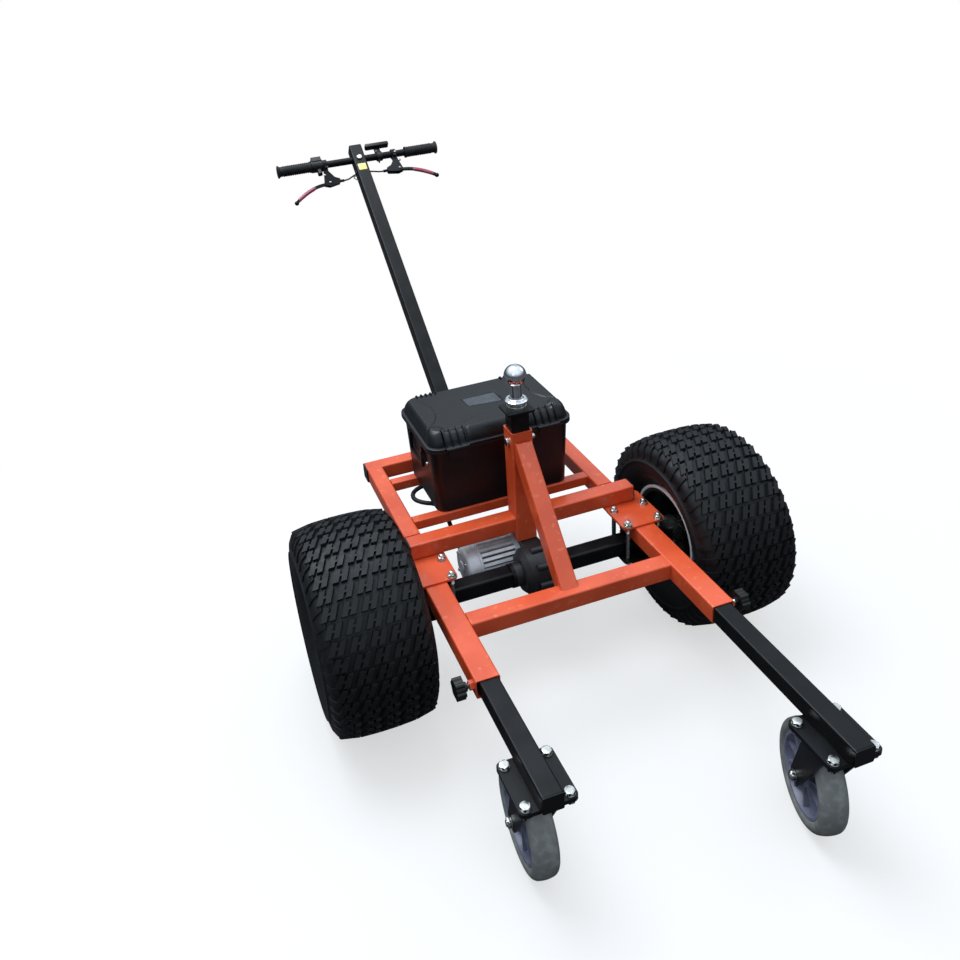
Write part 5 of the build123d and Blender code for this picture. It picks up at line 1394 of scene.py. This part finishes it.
def buildMotor():
    look = motorLook
    end, axis = look["bellEnd"], (1, 0, 0)
    centre = at(0, look["centreY"], look["centreZ"])
    pieces = [buildMotorBody()]
    for name, outline, material in motorOutlines():
        pieces.append(lathe(name, outline, centre, axis, material, 72))
    head = [(end - 0.6, 0), (end - 0.6, 2.4), (end, 4.2), (end + 3.4, 4.4), (end + 3.4, 0)]
    for spot in roundPlaces(centre, look["screwCircle"], look["screws"]):
        pieces.append(lathe("bellScrew", head, spot, axis, zinc, 20))
    spot = at(look["glandX"], 0, look["centreZ"] + look["glandRise"])
    pieces.append(lathe("cableGland", glandOutline, spot, (0, 1, 0), plainAbs, 40))
    motor = joinPieces("ribbedMotor", pieces)
    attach(motor, "chassis")
    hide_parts("drive_motor")


print("motor")
buildMotor()


# Cables: the power cable and both brake cables as smooth curves of their real thickness

powerRoute = [(-146, 232, 342), (-146, 232, 324), (-174, 238, 318), (-200, 222, 317), (-207, 192, 318),
              (-190, 166, 318), (-160, 156, 314), (-144, 132, 296), (-138, 118, 256), (-135, 97, 234),
              (-135, 66, 234)]
rightRoute = [(67, -62, 0), (53, -62, 0), (39, -57, 0), (12, -52, 0)]
cableLook = {"power": 11.0, "brake": 5.0, "clampDrop": -62}


def cableCurve(name, spots, diameter):
    curve = bpy.data.curves.new(name, "CURVE")
    curve.dimensions = "3D"
    curve.bevel_depth = diameter / 2 * mm
    curve.bevel_resolution = 6
    curve.resolution_u = 12
    curve.use_fill_caps = True
    spline = curve.splines.new("NURBS")
    spline.points.add(len(spots) - 1)
    for point, spot in zip(spline.points, spots):
        point.co = (*spot, 1)
    spline.order_u = 3
    spline.use_endpoint_u = True
    curve.materials.append(rubber)
    return linkPiece(name, curve)


def buildCables():
    look = cableLook
    power = cableCurve("powerCable", [at(*place) for place in powerRoute], look["power"])
    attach(power, "chassis")
    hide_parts("power_cable")
    tilt = radians(handleLook["tiltLeft"])
    low, deep = look["clampDrop"] * cos(tilt), look["clampDrop"] * sin(tilt)
    leftRoute = [(-62, low, deep), (-48, low, deep), (-34, low + 4, deep + 8), (-12, -52, 0)]
    for side, route in (("left", leftRoute), ("right", rightRoute)):
        cable = cableCurve(f"brakeCable_{side}", [onHandle(*place) for place in route], look["brake"])
        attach(cable, "chassis")
        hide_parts("brake_cables")


print("cables")
buildCables()


# Finishes of the CAD nodes that stay in view

def paintNodes():
    finishes = {
        orangePaint: ["cross_beam", "side_rails", "rear_beam", "case_bearers", "hitch_post", "post_brace",
                      "front_cross_tube", "leg_arm_left", "leg_arm_right", "axle_clamp_plates",
                      "handle_bracket"],
        blackPaint: ["ball_riser", "axle_tubes", "axle_saddles", "handle_column", "handlebar", "leg_left",
                     "leg_right", "lever_brackets", "brake_lever_left", "brake_lever_right",
                     "caster_fork_left", "caster_fork_right", "caster_plate_left", "caster_plate_right"],
        chrome: ["tow_ball"],
        zinc: ["ball_fastenings", "hitch_pin", "hitch_pin_clip", "axle_bearings", "handle_fasteners",
               "wheel_hub_left", "wheel_hub_right"],
        silver: ["drive_rim_left", "drive_rim_right"],
        casting: ["differential_housing"],
        aluminium: ["drive_motor", "motor_controller"],
        rubber: ["right_grip", "throttle_grip", "brake_cables", "power_cable", "case_gasket"],
        plainAbs: ["tube_plugs", "throttle_housing", "display", "clamp_knob_left", "clamp_knob_right"],
        caseTexture: ["case_body", "case_lid", "case_latch_left", "case_latch_right", "case_handle_left",
                      "case_handle_right"],
        batteryBlue: ["battery_pack"],
    }
    for material, names in finishes.items():
        for name in names:
            node = frame["nodes"][name]
            node.data.materials.clear()
            node.data.materials.append(material)


# Floor, lamps and camera

# One value for the rays that light the dolly and another for those of the camera.
def rayMix(tree, kind, lighting, seen):
    first, second, result = {"RGBA": (6, 7, 2), "FLOAT": (2, 3, 0)}[kind]
    ray = addNode(tree, "ShaderNodeLightPath").outputs["Is Camera Ray"]
    inputs = {"Factor": ray, first: lighting, second: seen}
    return addNode(tree, "ShaderNodeMix", inputs, data_type=kind).outputs[result]


def smoothStep(tree, value, low, high, lowest, highest):
    inputs = {"Value": value, "From Min": low, "From Max": high, "To Min": lowest, "To Max": highest}
    return addNode(tree, "ShaderNodeMapRange", inputs, interpolation_type="SMOOTHSTEP").outputs["Result"]


# Pale floor that keeps the shadow near the dolly and turns plain white, to the camera, further off.
def buildStage():
    look = {"colour": "#DEDEDE", "ground": "#3E3E41", "near": 0.95, "far": 1.9, "share": 0.6, "half": 40.0,
            "drop": -0.0005}
    floorPaint, tree, shader, coords = startMaterial("paleStudioFloor", {"Roughness": 0.9})
    ink = rayMix(tree, "RGBA", hexColour(look["ground"]), hexColour(look["colour"]))
    tree.links.new(ink, shader.inputs["Base Color"])
    reach = addNode(tree, "ShaderNodeVectorMath", {0: coords}, operation="LENGTH").outputs["Value"]
    share = smoothStep(tree, reach, look["near"], look["far"], look["share"], 1.0)
    glow = addNode(tree, "ShaderNodeEmission", {"Color": (1, 1, 1, 1), "Strength": 1.0})
    blended = addNode(tree, "ShaderNodeMixShader", {0: rayMix(tree, "FLOAT", 0.0, share),
                                                    1: shader.outputs["BSDF"], 2: glow.outputs["Emission"]})
    tree.links.new(blended.outputs["Shader"], tree.nodes["Material Output"].inputs["Surface"])
    half, drop = look["half"], look["drop"]
    corners = [(-half, -half, drop), (half, -half, drop), (half, half, drop), (-half, half, drop)]
    floor = newPiece("studioFloor", corners, [(0, 1, 2, 3)], floorPaint, False)


# White to the camera; to the dolly a pale sky above that darkens towards the horizon.
def buildSky():
    look = {"horizon": 0.08, "zenith": 1.25, "low": 0.0, "high": 0.8, "tint": (0.80, 0.90, 1.0, 1.0)}
    world = bpy.data.worlds.new("softStudio")
    bpy.context.scene.world = world
    world.use_nodes = True
    tree = world.node_tree
    back = tree.nodes["Background"]
    ray = addNode(tree, "ShaderNodeTexCoord").outputs["Generated"]
    up = addNode(tree, "ShaderNodeSeparateXYZ", {"Vector": ray}).outputs["Z"]
    glow = smoothStep(tree, up, look["low"], look["high"], look["horizon"], look["zenith"])
    tree.links.new(rayMix(tree, "FLOAT", glow, 1.0), back.inputs["Strength"])
    tree.links.new(rayMix(tree, "RGBA", look["tint"], (1.0, 1.0, 1.0, 1.0)), back.inputs["Color"])


# Three soft lamps, each with its place and width in metres and its power in watts, turned to the dolly.
def buildLamps():
    lamps = {"skySoftbox": ((-0.9, 0.9, 4.2), 2.6, 150), "frontFill": ((-2.8, -3.4, 3.2), 1.8, 6),
             "sideFill": ((3.4, 0.2, 2.6), 1.8, 8)}
    middle = Vector((0, 0, 0.35))
    for name, (place, size, power) in lamps.items():
        light = bpy.data.lights.new(name, "AREA")
        light.size = size
        light.energy = power
        light.color = (0.9, 0.95, 1.0)
        lamp = linkPiece(name, light)
        lamp.location = place
        lamp.rotation_euler = (middle - Vector(place)).to_track_quat("-Z", "Y").to_euler()


cameraView = {"azimuth": -14.81, "elevation": 23.07, "roll": -6.085, "distance": 2384.7,
              "target": (-102.4, 538.1, 596.8), "focalPixels": 871.96, "imagePixels": 960,
              "centrePixels": (401.5, 339.0), "sensor": 36.0}


def buildCamera():
    view = cameraView
    azimuth, elevation, roll = (radians(view[k]) for k in ("azimuth", "elevation", "roll"))
    back = Vector((sin(azimuth) * cos(elevation), -cos(azimuth) * cos(elevation), sin(elevation)))
    right = Vector((cos(azimuth), sin(azimuth), 0))
    up = back.cross(right)
    axes = (right * cos(roll) + up * sin(roll), up * cos(roll) - right * sin(roll), back)
    turn = Matrix(axes).transposed().to_4x4()
    pixels, (across, down) = view["imagePixels"], view["centrePixels"]
    data = bpy.data.cameras.new("photoCamera")
    data.sensor_width = view["sensor"]
    data.lens = view["focalPixels"] / pixels * view["sensor"]
    data.shift_x = (pixels / 2 - across) / pixels
    data.shift_y = (down - pixels / 2) / pixels
    camera = linkPiece("photoCamera", data)
    camera.matrix_world = Matrix.Translation(at(*view["target"]) + back * view["distance"] * mm) @ turn
    bpy.context.scene.camera = camera


print("finishes, stage and camera")
paintNodes()
buildStage()
buildSky()
buildLamps()
buildCamera()
bpy.context.scene.view_settings.view_transform = "Standard"
